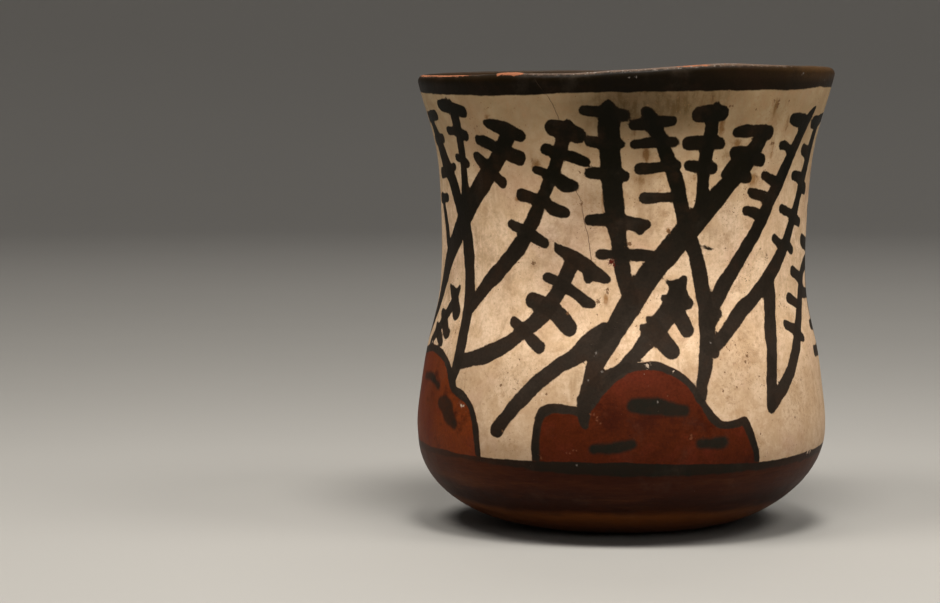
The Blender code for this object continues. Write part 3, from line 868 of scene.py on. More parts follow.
def layPaint(vessel, wall, firstOuter):
    # one number per vertex for each painted edge, which the material turns into crisp colour
    mesh = vessel.data
    turn = wall["turn"]
    rise = wall["rise"]
    outer = wall["row"] >= firstOuter
    ring = {name: roundTheWall(turn, table) for name, table in ringPaint.items()}
    reached = outer & (rise > brushWork["lowest"]) & (wall["radius"] > brushWork["leastRadius"])
    chosen = np.flatnonzero(reached)
    part = {name: values[chosen] for name, values in wall.items()}
    strokes, unpainted = brushFields(part, ring["beltTop"][chosen])
    fields = {}
    for name, values in strokes.items():
        fields[name] = np.full(len(turn), unpainted[name])
        fields[name][chosen] = values

    fields["rimBand"] = np.where(outer, ring["rimBandFoot"], ring["rimBandInside"]) - rise
    fields["beltTop"] = rise - ring["beltTop"]
    fields["beltFoot"] = rise - ring["beltFoot"]
    fields["beltLoad"] = ring["beltLoad"]
    fields["bandWarmth"] = ring["bandWarmth"]

    # wear and its painted highlight are strongest just outside the crest of the lip and fade down both sides
    wear = {name: roundTheWall(turn, lipWear[name]) for name in ("bare", "bareReach", "rubbedAndHighlight")}
    bareAway = (wall["pastLip"] - lipWear["bareCentre"]) / wear["bareReach"]
    rubAndHighlightAway = (wall["pastLip"] - lipWear["rubbedAndHighlightCentre"]) / lipWear["rubbedAndHighlightReach"]
    fields["lipBare"] = wear["bare"] * np.exp(-bareAway ** 2)
    fields["lipRubAndHighlight"] = wear["rubbedAndHighlight"] * np.exp(-rubAndHighlightAway ** 2)
    for name, patches in wallPatches.items():
        fields[name] = patchField(wall, patches) * outer
    fields.update(crackFields(wall, outer))

    for name, values in fields.items():
        field = mesh.attributes.new(name, "FLOAT", "POINT")
        field.data.foreach_set("value", values.astype(np.float32))
    for name in ("row", "reach", "rise", "turn"):
        mesh.attributes.remove(mesh.attributes[name])


def handWork(vessel, wall, firstOuter, form):
    # shallow dents over the outer wall and a little unevenness along the lip
    mesh = vessel.data
    hands = form["hands"]
    rise = wall["rise"]
    places = np.zeros(len(mesh.vertices) * 3, np.float32)
    mesh.vertices.foreach_get("co", places)
    places = places.reshape(-1, 3).astype(float)
    turn = np.radians(wall["turn"])
    outward = np.stack([np.sin(turn), -np.cos(turn)], 1)
    lowFade = np.clip((rise - hands["dentsFrom"]) / hands["dentsEaseLow"], 0, 1)
    highFade = np.clip((hands["dentsUpTo"] - rise) / hands["dentsEaseHigh"], 0, 1)
    fade = lowFade * highFade * (wall["row"] >= firstOuter)
    for size, depth in hands["dents"]:
        for index in np.flatnonzero(fade > 0):
            height = noise.noise(Vector(places[index]) / size) - hands["dentsBelow"]
            places[index, :2] += outward[index] * (height * depth * fade[index])
    proud = np.exp(-(relativeTurn(wall["turn"], lipWear["proudTurn"]) / lipWear["proudWidth"]) ** 4)
    proud *= np.exp(-(wall["pastLip"] / lipWear["proudReach"]) ** 2)
    places[:, 2] += proud * lipWear["proudLift"] / 1000
    ripples = hands["lipRipples"]
    circle = [Vector((math.sin(t) * ripples, math.cos(t) * ripples, hands["lipRippleSlice"])) for t in turn]
    ripple = np.array([noise.noise(place) for place in circle]) * hands["lipRippleLift"]
    places[:, 2] += ripple * np.exp(-(wall["pastLip"] / hands["lipRippleReach"]) ** 2)
    places[:, 2] -= hands["lipSink"] * (rise > hands["lipSinkFrom"])
    places = np.clip(places, np.array(cadBox[0]), np.array(cadBox[1]))
    mesh.vertices.foreach_set("co", places.astype(np.float32).ravel())
    mesh.update()


# the boxes of the texture map, in pixels of its 1024: left, bottom, right, top
textureLayout = {
    "size": 1024,
    "front": (6, 618, 866, 1018),
    "back": (6, 208, 866, 608),
    "bowl": (6, 92, 866, 198),
    "floor": (6, 6, 866, 82),
    "inside": (876, 6, 1018, 1018),
    "floorHeight": 20.0,  # mm, where the inside's floor ends and its wall begins
}


def layTexture(vessel, wall, rows, firstOuter, form, layout):
    # the painted wall gets most of the map, in two halves; the bowl, floor and inside share the rest
    mesh = vessel.data
    corners = np.zeros(len(mesh.loops), np.int32)
    mesh.loops.foreach_get("vertex_index", corners)
    sides = np.zeros(len(mesh.polygons), np.int32)
    mesh.polygons.foreach_get("loop_total", sides)
    starts = np.concatenate([[0], np.cumsum(sides)[:-1]])
    turn = wall["turn"][corners]
    offPole = wall["radius"][corners] > 0.01
    across = np.add.reduceat(np.sin(np.radians(turn)) * offPole, starts)
    ahead = np.add.reduceat(np.cos(np.radians(turn)) * offPole, starts)
    faceTurn = np.repeat(np.degrees(np.arctan2(across, ahead)), sides)
    turn = faceTurn + np.where(offPole, relativeTurn(turn, faceTurn), 0.0)
    faceRow = np.repeat(np.minimum.reduceat(wall["row"][corners], starts), sides)
    past = wall["pastLip"][corners]

    rises = np.array([row.y for row in rows]) * 1000
    bowlRow = int(np.argmax((np.arange(len(rows)) > firstOuter) & (rises < form["paintedFrom"] * 1000)))
    floorRow = int(np.argmax(rises > layout["floorHeight"]))
    outer = faceRow >= firstOuter - 1
    bowl = faceRow >= bowlRow - 1
    floor = faceRow < floorRow
    behind = np.abs(faceTurn) > 90
    whole = (turn + 180) / 360
    islands = {
        "front": (outer & ~bowl & ~behind, (turn + 90) / 180),
        "back": (outer & ~bowl & behind, (relativeTurn(turn, 180) + 90) / 180),
        "bowl": (bowl, whole),
        "floor": (floor, whole),
        "inside": (~outer & ~floor, whole),
    }
    places = np.zeros((len(corners), 2))
    for name, (chosen, sideways) in islands.items():
        left, bottom, right, top = layout[name]
        low = past[chosen].min()
        downwards = (past[chosen] - low) / (past[chosen].max() - low)
        if name == "inside":
            places[chosen, 0] = left + downwards * (right - left)
            places[chosen, 1] = bottom + sideways[chosen] * (top - bottom)
        else:
            places[chosen, 0] = left + sideways[chosen] * (right - left)
            places[chosen, 1] = top - downwards * (top - bottom)
    texture = mesh.uv_layers.new(name="OFBake")
    texture.data.foreach_set("uv", (places / layout["size"]).astype(np.float32).ravel())


# shader tools
def mixColour(tree, factor, first, second, blend="MIX"):
    node = addNode(tree, "ShaderNodeMix", data_type="RGBA", blend_type=blend)
    feed(tree, node.inputs[0], factor)
    feed(tree, node.inputs[6], first)
    feed(tree, node.inputs[7], second)
    return node.outputs[2]


def mixValue(tree, factor, first, second):
    node = addNode(tree, "ShaderNodeMix", data_type="FLOAT")
    feed(tree, node.inputs[0], factor)
    feed(tree, node.inputs[2], first)
    feed(tree, node.inputs[3], second)
    return node.outputs[0]


def squeezed(tree, vector, scale, move=(0.0, 0.0, 0.0)):
    node = addNode(tree, "ShaderNodeMapping")
    feedAll(tree, node.inputs, Vector=vector, Location=move, Scale=scale)
    return node.outputs[0]


def cloud(tree, vector, scale, detail=2.0, roughness=0.5, distortion=0.0, squeeze=None, move=None):
    if squeeze or move:
        vector = squeezed(tree, vector, squeeze or (1.0, 1.0, 1.0), move or (0.0, 0.0, 0.0))
    node = addNode(tree, "ShaderNodeTexNoise")
    feedAll(tree, node.inputs, Vector=vector, Scale=scale, Detail=detail, Roughness=roughness,
            Distortion=distortion)
    return node.outputs[0]


def readAttribute(tree, name):
    return addNode(tree, "ShaderNodeAttribute", attribute_name=name).outputs["Fac"]


def placeGroup(tree, group, **values):
    node = addNode(tree, "ShaderNodeGroup")
    node.node_tree = group
    feedAll(tree, node.inputs, **values)
    return node.outputs


def colour(red, green, blue):
    return (red, green, blue, 1.0)


def paintEdgeGroup():
    # a painted edge: takes the distance to it in mm and gives a mask with a hand-laid wobble
    tree, given, result = newTree("paintEdge", "ShaderNodeTree", [
        ("Vector", "Vector"), ("Distance", "Float", 0.0), ("Wobble", "Float", 0.2),
        ("Softness", "Float", 0.15)], [("Mask", "Float")])
    shift = 0.0
    # fine, broad and slow waves of the edge: scale, detail, strength
    for scale, detail, strength in ((1500.0, 1.0, 0.6), (330.0, 2.0, 2.0), (115.0, 1.0, 3.0)):
        wave = minus(tree, cloud(tree, given["Vector"], scale, detail), 0.5)
        shift = timesPlus(tree, wave, strength, shift)
    edge = timesPlus(tree, shift, given["Wobble"], given["Distance"])
    inner = times(tree, given["Softness"], -1.0)
    feedAll(tree, result, Mask=mapped(tree, edge, given["Softness"], inner))
    return tree


def mineralPaintGroup():
    # earth pigment brushed on thin: uneven body colour, thin places and dense places
    tree, given, result = newTree("mineralPaint", "ShaderNodeTree", [
        ("Vector", "Vector"), ("Body", "Color"), ("Thin", "Color"), ("Dense", "Color"),
        ("Unevenness", "Float", 0.5)], [("Color", "Color")])
    patches = cloud(tree, given["Vector"], 75.0, 4.0, 0.6, 0.4)
    strokes = cloud(tree, given["Vector"], 300.0, 4.0, 0.66, squeeze=(1.0, 1.0, 2.0))
    grain = cloud(tree, given["Vector"], 1400.0, 2.0, 0.6)
    coat = timesPlus(tree, strokes, 0.25, times(tree, patches, 0.75))
    thin = times(tree, mapped(tree, coat, 0.47, 0.68), given["Unevenness"])
    dense = times(tree, mapped(tree, coat, 0.50, 0.34), given["Unevenness"])
    body = mixColour(tree, thin, given["Body"], given["Thin"])
    body = mixColour(tree, dense, body, given["Dense"])
    speckle = mapped(tree, grain, 0.35, 0.65, 0.88, 1.10, "LINEAR")
    shade = addNode(tree, "ShaderNodeCombineColor")
    feedAll(tree, shade.inputs, Red=speckle, Green=speckle, Blue=speckle)
    feedAll(tree, result, Color=mixColour(tree, 1.0, body, shade.outputs[0], "MULTIPLY"))
    return tree


def clayGrainGroup():
    # the skin of hand-built clay: fine grit, pinholes and the long facets of a burnishing pebble
    tree, given, result = newTree("clayGrain", "ShaderNodeTree", [
        ("Vector", "Vector"), ("Grit", "Float", 0.5), ("Facets", "Float", 0.5)],
        [("Height", "Float"), ("Pits", "Float"), ("Facet", "Float")])
    grit = cloud(tree, given["Vector"], 1900.0, 3.0, 0.62)
    facet = cloud(tree, given["Vector"], 300.0, 2.0, 0.45, 0.3, squeeze=(1.0, 1.0, 0.16))
    pits = mapped(tree, cloud(tree, given["Vector"], 1020.0, 3.0, 0.62, 0.3), 0.665, 0.745)
    height = timesPlus(tree, facet, given["Facets"], times(tree, grit, given["Grit"]))
    feedAll(tree, result, Height=timesPlus(tree, pits, -0.6, height), Pits=pits, Facet=facet)
    return tree


def agePatinaGroup():
    # what centuries leave: cloudy stains, clusters of small dark specks, settled dust
    tree, given, result = newTree("agePatina", "ShaderNodeTree", [
        ("Vector", "Vector"), ("Amount", "Float", 0.5)],
        [("Stain", "Float"), ("Specks", "Float"), ("Dust", "Float")])
    broad = cloud(tree, given["Vector"], 42.0, 4.0, 0.62, 0.6)
    medium = cloud(tree, given["Vector"], 170.0, 6.0, 0.72, 0.3)
    stain = times(tree, mapped(tree, broad, 0.44, 0.66, 0.25, 1.0), mapped(tree, medium, 0.48, 0.70))
    cluster = mapped(tree, cloud(tree, given["Vector"], 88.0, 2.0, 0.5), 0.42, 0.66, 0.0, 0.085)
    blots = plus(tree, cloud(tree, given["Vector"], 640.0, 3.0, 0.72, 0.4), cluster)
    dots = plus(tree, cloud(tree, given["Vector"], 1500.0, 1.0, 0.5), cluster)
    specks = calc(tree, "MAXIMUM", mapped(tree, blots, 0.720, 0.830), mapped(tree, dots, 0.750, 0.840))
    dust = mapped(tree, cloud(tree, given["Vector"], 95.0, 5.0, 0.7), 0.52, 0.78)
    for name, mask in (("Stain", stain), ("Specks", specks), ("Dust", dust)):
        feed(tree, result[name], times(tree, mask, given["Amount"]))
    return tree


effects = {
    "edge": paintEdgeGroup(),
    "paint": mineralPaintGroup(),
    "grain": clayGrainGroup(),
    "patina": agePatinaGroup(),
}
print("effects built")


def edgeMask(tree, vector, name, wobble, softness, flip=False):
    # 1 inside the painted edge whose distance the attribute holds, or outside it when flipped
    distance = readAttribute(tree, name)
    if flip:
        distance = times(tree, distance, -1.0)
    return placeGroup(tree, effects["edge"], Vector=vector, Distance=distance, Wobble=wobble,
                      Softness=softness)["Mask"]


def brushed(tree, vector, body, finish, name):
    # the body colour laid with a brush: thin and dense places in the finish's colours of that name
    return placeGroup(tree, effects["paint"], Vector=vector, Body=body, Thin=finish[name + "Thin"],
                      Dense=finish[name + "Dense"], Unevenness=finish[name + "Uneven"])["Color"]


def lipMasks(tree, vector):
    # where the lip is worn bare, and where its paint is only rubbed, which also carries a painted highlight
    # along the crest
    ragged = timesPlus(tree, cloud(tree, vector, 760.0, 4.0, 0.72), 1.2, -0.60)
    bare = mapped(tree, plus(tree, readAttribute(tree, "lipBare"), ragged), 0.50, 0.64)
    rubAndHighlight = mapped(tree, plus(tree, readAttribute(tree, "lipRubAndHighlight"), ragged), 0.22, 0.72, 0.0, 0.75)
    return bare, rubAndHighlight


def startMaterial(material, finish):
    # the shader, the piece's own coordinates and its two general effects
    material.use_nodes = True
    tree = material.node_tree
    tree.nodes.clear()
    out = addNode(tree, "ShaderNodeOutputMaterial")
    shader = addNode(tree, "ShaderNodeBsdfPrincipled")
    feedAll(tree, out.inputs, Surface=shader.outputs[0])
    vector = addNode(tree, "ShaderNodeTexCoord").outputs["Object"]
    split = addNode(tree, "ShaderNodeSeparateXYZ")
    feed(tree, split.inputs[0], vector)
    grain = placeGroup(tree, effects["grain"], Vector=vector, Grit=finish["grit"], Facets=finish["facets"])
    patina = placeGroup(tree, effects["patina"], Vector=vector, Amount=finish["age"])
    return tree, shader, vector, split.outputs["Z"], grain, patina


def finishMaterial(tree, shader, finish, shown, rough, relief):
    bump = addNode(tree, "ShaderNodeBump")
    feedAll(tree, bump.inputs, Strength=finish["bumpStrength"], Distance=finish["bumpDepth"], Height=relief)
    feed(tree, shader.inputs["Base Color"], shown)
    feed(tree, shader.inputs["Roughness"], rough)
    feed(tree, shader.inputs["Specular IOR Level"], finish["specular"])
    feed(tree, shader.inputs["Normal"], bump.outputs[0])


# the painted outside
outerFinish = {
    "slipLight": colour(0.865, 0.635, 0.430),
    "slipBody": colour(0.715, 0.495, 0.305),
    "slipDeep": colour(0.550, 0.362, 0.220),
    "slipPink": colour(0.655, 0.412, 0.285),
    "slipSmudge": colour(0.42, 0.255, 0.135),
    "stain": colour(0.30, 0.175, 0.085),
    "speck": colour(0.145, 0.070, 0.031),
    # these multiply the slip: a tan tint near the rim that also paints shade there, painted shade towards the
    # belt, grey patches and darker patches that are partly stains and partly painted shade, and runs
    "slipTanAndShade": colour(0.530, 0.535, 0.465),
    "slipLowShade": colour(0.69, 0.68, 0.675),
    "greyedAndShaded": colour(0.60, 0.60, 0.66),
    "soiled": colour(0.36, 0.325, 0.23),
    "rusty": colour(0.44, 0.29, 0.13),
    "inkHigh": colour(0.0040, 0.0035, 0.0010),
    # painted sheen of light on the ink lower down the wall
    "inkSheen": colour(0.0275, 0.0198, 0.0142),
    "inkThin": colour(0.040, 0.018, 0.0085),
    "inkDense": colour(0.0055, 0.0045, 0.0025),
    "inkUneven": 0.36,
    "dash": colour(0.0108, 0.0102, 0.0066),
    "redOrange": colour(0.165, 0.0330, 0.0065),
    "redDeep": colour(0.044, 0.0070, 0.0016),
    "redHigh": colour(0.078, 0.0135, 0.0060),  # the red where the hills rise
    "redThin": colour(0.105, 0.0165, 0.0065),
    "redDense": colour(0.034, 0.0056, 0.0018),
    "redUneven": 0.8,
    "baseWarm": colour(0.062, 0.0155, 0.0046),
    "baseHigh": colour(0.037, 0.0086, 0.0030),
    "baseDense": colour(0.022, 0.0062, 0.0028),
    "baseThin": colour(0.105, 0.032, 0.0080),
    "baseUneven": 0.50,
    "band": colour(0.0056, 0.0034, 0.0010),
    "bandWarm": colour(0.047, 0.024, 0.0090),
    "bandThin": colour(0.020, 0.0088, 0.0040),
    "bandDense": colour(0.0045, 0.0032, 0.0020),
    "bandUneven": 0.4,
    "bareClay": colour(0.21, 0.078, 0.038),
    # the lip's rubbed paint, lighter, partly a painted highlight along the crest
    "rubbedAndHighlight": colour(0.100, 0.064, 0.044),
    "crack": colour(0.100, 0.055, 0.032),
    "chipPale": colour(0.46, 0.35, 0.26),
    # grey chips, and the painted glints of light on the lip
    "greyChipAndGlint": colour(0.17, 0.145, 0.125),
    "chipClay": colour(0.140, 0.045, 0.020),
    "spotRed": colour(0.088, 0.0145, 0.0080),
    "pitShade": colour(0.40, 0.30, 0.22),  # multiplies everything in the pinholes
    # heights in metres where a tone starts and where it is full
    "tanAndShadeHeights": (0.082, 0.124),
    "soiledHeights": (0.070, 0.026),
    "inkSheenHeights": (0.112, 0.050),
    "inkDenseHeights": (0.044, 0.030),
    "redHighHeights": (0.036, 0.050),
    "baseDenseHeights": (0.0175, 0.0125),
    "baseThinHeights": (0.0098, 0.0074),
    "bandWarmHeights": (0.1295, 0.1325),
    # how far each painted edge wanders, how soft it is, and whether its two sides change places
    "edges": {
        "ink": (0.42, 0.20, False),
        "inkUnder": (0.22, 0.35, False),
        "hill": (0.18, 0.20, False),
        "dash": (0.50, 0.65, False),
        "rimBand": (0.32, 0.22, False),
        "beltTop": (0.30, 0.20, False),
        "beltFoot": (0.60, 0.40, True),
    },
    # the clouds, streaks and grains that the tones follow, with scales per metre
    "patterns": {
        "broad": {"scale": 30.0, "detail": 3.0, "roughness": 0.55, "distortion": 0.5},
        "mottle": {"scale": 150.0, "detail": 5.0, "roughness": 0.66, "distortion": 0.3},
        "pinks": {"scale": 55.0, "detail": 3.0, "roughness": 0.6, "move": (0.31, 0.12, 0.44)},
        "smudge": {"scale": 230.0, "detail": 5.0, "roughness": 0.72},
        "streak": {"scale": 460.0, "detail": 3.0, "roughness": 0.6, "squeeze": (1.0, 1.0, 0.14)},
        "grain": {"scale": 1150.0, "detail": 3.0, "roughness": 0.7},
        "run": {"scale": 520.0, "detail": 5.0, "roughness": 0.70, "squeeze": (1.0, 1.0, 0.6)},
        "freckle": {"scale": 980.0, "detail": 3.0, "roughness": 0.72},
        "brush": {"scale": 430.0, "detail": 3.0, "roughness": 0.62, "squeeze": (0.22, 0.22, 1.5)},
        "glint": {"scale": 1500.0, "detail": 2.0, "roughness": 0.6},
        "crackFade": {"scale": 240.0, "detail": 2.0},
        "broken": {"scale": 900.0, "detail": 4.0, "roughness": 0.7},
    },
    "grit": 0.30,
    "facets": 0.50,
    "age": 1.0,
    "specular": 0.055,
    "bumpStrength": 0.55,
    "bumpDepth": 0.00022,
}

# single marks: (degrees, height mm, radius mm)
wallMarks = {
    "chipPale": [
        (7.4, 52.0, 0.48), (7.0, 51.6, 0.30), (64.6, 24.2, 0.55), (66.4, 24.0, 0.45), (-76.2, 54.6, 0.40),
        (14.6, 49.8, 0.20), (-49.4, 37.9, 0.50), (-48.5, 38.4, 0.32),
    ],
    # grey chips; the four by the lip are painted glints of light
    "greyChipAndGlint": [
        (-7.2, 55.4, 0.34), (-5.6, 50.5, 0.30), (-12.0, 23.8, 0.26), (10.2, 41.8, 0.28), (1.2, 131.6, 0.24),
        (3.0, 131.4, 0.20), (-8.8, 48.0, 0.24), (26.4, 58.0, 0.22), (55.0, 131.2, 0.30), (69.0, 129.6, 0.26),
    ],
    "chipClay": [
        (-50.2, 38.9, 0.40), (18.5, 31.4, 0.45), (19.2, 32.2, 0.30), (-7.9, 38.6, 0.26), (-7.3, 38.3, 0.26),
        (-6.7, 37.7, 0.28), (-6.1, 36.9, 0.26), (-5.7, 36.1, 0.24), (-5.4, 35.5, 0.20), (-14.4, 26.9, 0.24),
        (-13.8, 27.3, 0.22), (-13.0, 27.9, 0.22), (12.8, 43.2, 0.24), (-12.0, 28.4, 0.20),
        (-22.0, 25.4, 0.34),
    ],
    "speck": [
        (-7.0, 68.9, 0.58), (-4.6, 72.5, 0.42), (-4.7, 71.6, 0.42), (-12.7, 96.7, 0.38), (1.4, 85.6, 0.60),
        (13.4, 88.9, 0.60), (-27.6, 79.2, 0.62), (-16.2, 66.0, 0.40), (-35.3, 45.0, 0.42),
        (37.6, 53.4, 0.55), (36.9, 52.2, 0.42), (-29.4, 52.6, 0.30), (-20.3, 43.0, 0.26),
        (-33.6, 32.4, 0.30), (29.6, 49.6, 0.26), (33.2, 45.4, 0.24), (41.0, 47.2, 0.26), (34.0, 56.4, 0.22),
        (45.0, 124.2, 0.34), (46.5, 123.9, 0.42), (46.8, 123.1, 0.44), (46.9, 122.4, 0.36),
        (30.0, 122.7, 0.34), (30.9, 122.4, 0.34), (38.4, 121.6, 0.30), (51.0, 124.3, 0.32),
        (48.0, 112.7, 0.44), (48.6, 112.3, 0.30), (32.8, 84.0, 0.26), (28.9, 44.6, 0.30),
        (56.2, 34.9, 0.34), (40.2, 31.6, 0.30), (60.8, 45.2, 0.30),
    ],
    "spotRed": [(-3.7, 80.3, 0.75), (-3.0, 79.8, 0.50)],
}


def placeOnWall(vessel, wall, turn, height, firstOuter):
    sideways = relativeTurn(wall["turn"], turn) * wall["perDegree"]
    away = np.hypot(sideways, wall["rise"] - height)
    away[wall["row"] < firstOuter] = np.inf
    return vessel.data.vertices[int(np.argmin(away))].co.copy()


def marksMask(tree, vector, places):
    # nearest of the given round marks, with slightly ragged edges
    ragged = timesPlus(tree, cloud(tree, vector, 2100.0, 3.0, 0.7), 3.6, -0.8)
    best = None
    for place, radius in places:
        gap = addNode(tree, "ShaderNodeVectorMath", operation="DISTANCE")
        feed(tree, gap.inputs[0], vector)
        feed(tree, gap.inputs[1], place)
        share = calc(tree, "DIVIDE", gap.outputs["Value"], radius / 1000)
        best = share if best is None else calc(tree, "MINIMUM", best, share)
    return mapped(tree, times(tree, best, ragged), 1.25, 0.65)


def dressOuter(material, vessel, wall, firstOuter):
    finish = outerFinish
    tree, shader, vector, height, grain, patina = startMaterial(material, finish)
    pattern = {name: cloud(tree, vector, **values) for name, values in finish["patterns"].items()}
    edge = {name: edgeMask(tree, vector, name, *values) for name, values in finish["edges"].items()}
    field = {name: readAttribute(tree, name) for name in (
        "greyingAndShade", "soilingAndShade", "drips", "freckles", "ink", "wash", "redLoad", "beltLoad", "bandWarmth",
        "lipRubAndHighlight", "crackSide", "crackPast")}

    # cream slip: clouds, mottles of several sizes, upright streaks of the burnish, grain, dirt, and painted
    # shade near the rim and towards the belt
    mottle = pattern["mottle"]
    streak = pattern["streak"]
    smudge = pattern["smudge"]
    patchBreak = timesPlus(tree, streak, 0.5, times(tree, smudge, 0.5))
    runs = timesPlus(tree, pattern["run"], 0.9, plus(tree, field["drips"], -0.45))
    freckles = timesPlus(tree, field["freckles"], 0.17, pattern["freckle"])
    shown = mixColour(tree, mapped(tree, mottle, 0.38, 0.62), finish["slipBody"], finish["slipLight"])
    slipLayers = [
        (mapped(tree, pattern["broad"], 0.54, 0.34, 0.0, 0.45), "slipDeep", "MIX"),
        (mapped(tree, pattern["pinks"], 0.50, 0.70, 0.0, 0.48), "slipPink", "MIX"),
        # a tan tint near the rim, partly painted shade
        (mapped(tree, height, *finish["tanAndShadeHeights"]), "slipTanAndShade", "MULTIPLY"),
        # painted shade, the slip darker towards the belt
        (mapped(tree, height, *finish["soiledHeights"]), "slipLowShade", "MULTIPLY"),
        (mapped(tree, smudge, 0.48, 0.68, 0.0, 0.54), "slipSmudge", "MIX"),
        (mapped(tree, streak, 0.54, 0.74, 0.0, 0.40), "slipSmudge", "MIX"),
        (mapped(tree, pattern["grain"], 0.36, 0.56, 0.30, 0.0, "LINEAR"), "slipSmudge", "MIX"),
        # greyer patches, partly painted shade
        (field["greyingAndShade"], "greyedAndShaded", "MULTIPLY"),
        # darker patches: stains, and painted shade under the lip at the front
        (times(tree, field["soilingAndShade"], mapped(tree, patchBreak, 0.42, 0.58, 0.8, 1.15)), "soiled", "MULTIPLY"),
        (mapped(tree, runs, 0.20, 0.60, 0.0, 0.85), "rusty", "MULTIPLY"),
        (mapped(tree, freckles, 0.60, 0.74, 0.0, 0.50), "stain", "MIX"),
        (times(tree, patina["Stain"], 0.50), "stain", "MIX"),
        (times(tree, patina["Specks"], 0.90), "speck", "MIX"),
    ]
    for mask, name, blend in slipLayers:
        shown = mixColour(tree, mask, shown, finish[name], blend)

    # ink: blackest high on the wall, greyer lower down where a sheen of light is painted into it, darker
    # again at the very bottom, brown where it is thin or at its edges
    low = mapped(tree, height, *finish["inkSheenHeights"])
    lowest = mapped(tree, height, *finish["inkDenseHeights"], 0.0, 0.60)
    ink = mixColour(tree, low, finish["inkHigh"], finish["inkSheen"])
    ink = mixColour(tree, lowest, ink, finish["inkDense"])
    ink = brushed(tree, vector, ink, finish, "ink")
    wash = times(tree, field["wash"], 0.08)
    brown = calc(tree, "MAXIMUM", mapped(tree, field["ink"], -0.6, 0.1, 0.0, 0.20), wash)
    ink = mixColour(tree, brown, ink, finish["inkThin"])
    ink = mixColour(tree, times(tree, edge["inkUnder"], 0.25), ink, finish["inkDense"])
    hold = timesPlus(tree, wash, -0.05, 1.0)  # thin ink lets a little slip through

    # red: darker low on the hills and where the coat is full
    rising = mapped(tree, height, *finish["redHighHeights"])
    red = mixColour(tree, rising, finish["redDeep"], finish["redHigh"])
    red = mixColour(tree, field["redLoad"], finish["redOrange"], red)
    red = brushed(tree, vector, red, finish, "red")

    # lower body: purple-brown below the belt, dark in the middle, warmer near the foot
    level = timesPlus(tree, minus(tree, pattern["broad"], 0.5), 0.005, height)
    thinBelt = mapped(tree, field["beltLoad"], 0.9, 0.5)
    base = mixColour(tree, thinBelt, finish["baseHigh"], finish["baseWarm"])
    for name in ("baseDense", "baseThin"):
        base = mixColour(tree, mapped(tree, level, *finish[name + "Heights"]), base, finish[name])
    brushMarks = mapped(tree, pattern["brush"], 0.50, 0.72, 0.0, 0.32)
    base = mixColour(tree, brushMarks, base, finish["baseWarm"])
    levelBrush = squeezed(tree, vector, finish["patterns"]["brush"]["squeeze"])
    base = brushed(tree, levelBrush, base, finish, "base")

    # rim band, belt line and the dashes on the hills
    atLip = mapped(tree, height, *finish["bandWarmHeights"], 0.25, 1.0)
    band = mixColour(tree, times(tree, field["bandWarmth"], atLip), finish["band"], finish["bandWarm"])
    band = brushed(tree, vector, band, finish, "band")
    beltHold = times(tree, mapped(tree, mottle, 0.30, 0.62, 1.0, 0.82), field["beltLoad"])
    belt = times(tree, times(tree, edge["beltTop"], edge["beltFoot"]), beltHold)
    dashHold = mapped(tree, mottle, 0.34, 0.66, 1.0, 0.90)
    dashHold = times(tree, dashHold, mapped(tree, field["redLoad"], 0.1, 0.7, 0.85, 1.0))

    # wear and painted light: the lip with its painted highlight and glints, the crack and the single marks, a
    # few of them painted glints
    bare, rubAndHighlight = lipMasks(tree, vector)
    # painted glints of light where the lip's paint is rubbed
    glint = mapped(tree, pattern["glint"], 0.58, 0.66)
    glint = times(tree, glint, mapped(tree, field["lipRubAndHighlight"], 0.10, 0.60, 0.0, 0.85))
    wander = plus(tree, timesPlus(tree, mottle, 1.6, -0.8), field["crackSide"])
    crack = mapped(tree, calc(tree, "ABSOLUTE", wander), 0.17, 0.04)
    crack = times(tree, crack, mapped(tree, field["crackPast"], 0.4, -1.2))
    crack = times(tree, crack, mapped(tree, pattern["crackFade"], 0.30, 0.52, 0.25, 0.75))
    marks = {}
    for name, spots in wallMarks.items():
        places = [(placeOnWall(vessel, wall, turn, rise, firstOuter), radius) for turn, rise, radius in spots]
        marks[name] = marksMask(tree, vector, places)

    # laid in the order that the painter worked, wear and painted highlights last: mask, colour, roughness
    layers = [
        (edge["hill"], red, 0.50),
        (edge["beltTop"], base, 0.46),
        (times(tree, edge["dash"], dashHold), finish["dash"], 0.52),
        (belt, finish["dash"], 0.48),
        (crack, finish["crack"], 0.70),
        (times(tree, edge["ink"], hold), ink, 0.50),
        (edge["rimBand"], band, 0.42),
        (times(tree, edge["rimBand"], times(tree, crack, 0.35)), finish["crack"], 0.60),
        (rubAndHighlight, finish["rubbedAndHighlight"], 0.48),
        (glint, finish["greyChipAndGlint"], 0.40),
        (bare, finish["bareClay"], 0.72),
        (times(tree, marks["speck"], 0.85), finish["speck"], 0.60),
        (marks["spotRed"], finish["spotRed"], 0.50),
        (times(tree, marks["greyChipAndGlint"], 0.7), finish["greyChipAndGlint"], 0.75),
        (times(tree, marks["chipClay"], 0.8), finish["chipClay"], 0.75),
        (marks["chipPale"], finish["chipPale"], 0.75),
    ]
    rough = mixValue(tree, grain["Facet"], 0.44, 0.58)
    for mask, layerColour, layerRough in layers:
        shown = mixColour(tree, mask, shown, layerColour)
        rough = mixValue(tree, mask, rough, layerRough)
    shown = mixColour(tree, times(tree, grain["Pits"], 0.40), shown, finish["pitShade"], "MULTIPLY")
    shown = mixColour(tree, times(tree, patina["Dust"], 0.03), shown, finish["chipPale"])
    rough = timesPlus(tree, minus(tree, mottle, 0.5), 0.22, rough)
    rough = timesPlus(tree, patina["Dust"], 0.10, rough)

    relief = timesPlus(tree, bare, times(tree, pattern["broken"], 1.6), grain["Height"])
    relief = timesPlus(tree, crack, -1.2, relief)
    chips = plus(tree, marks["chipPale"], marks["chipClay"])
    relief = timesPlus(tree, chips, -0.6, relief)
    finishMaterial(tree, shader, finish, shown, rough, relief)


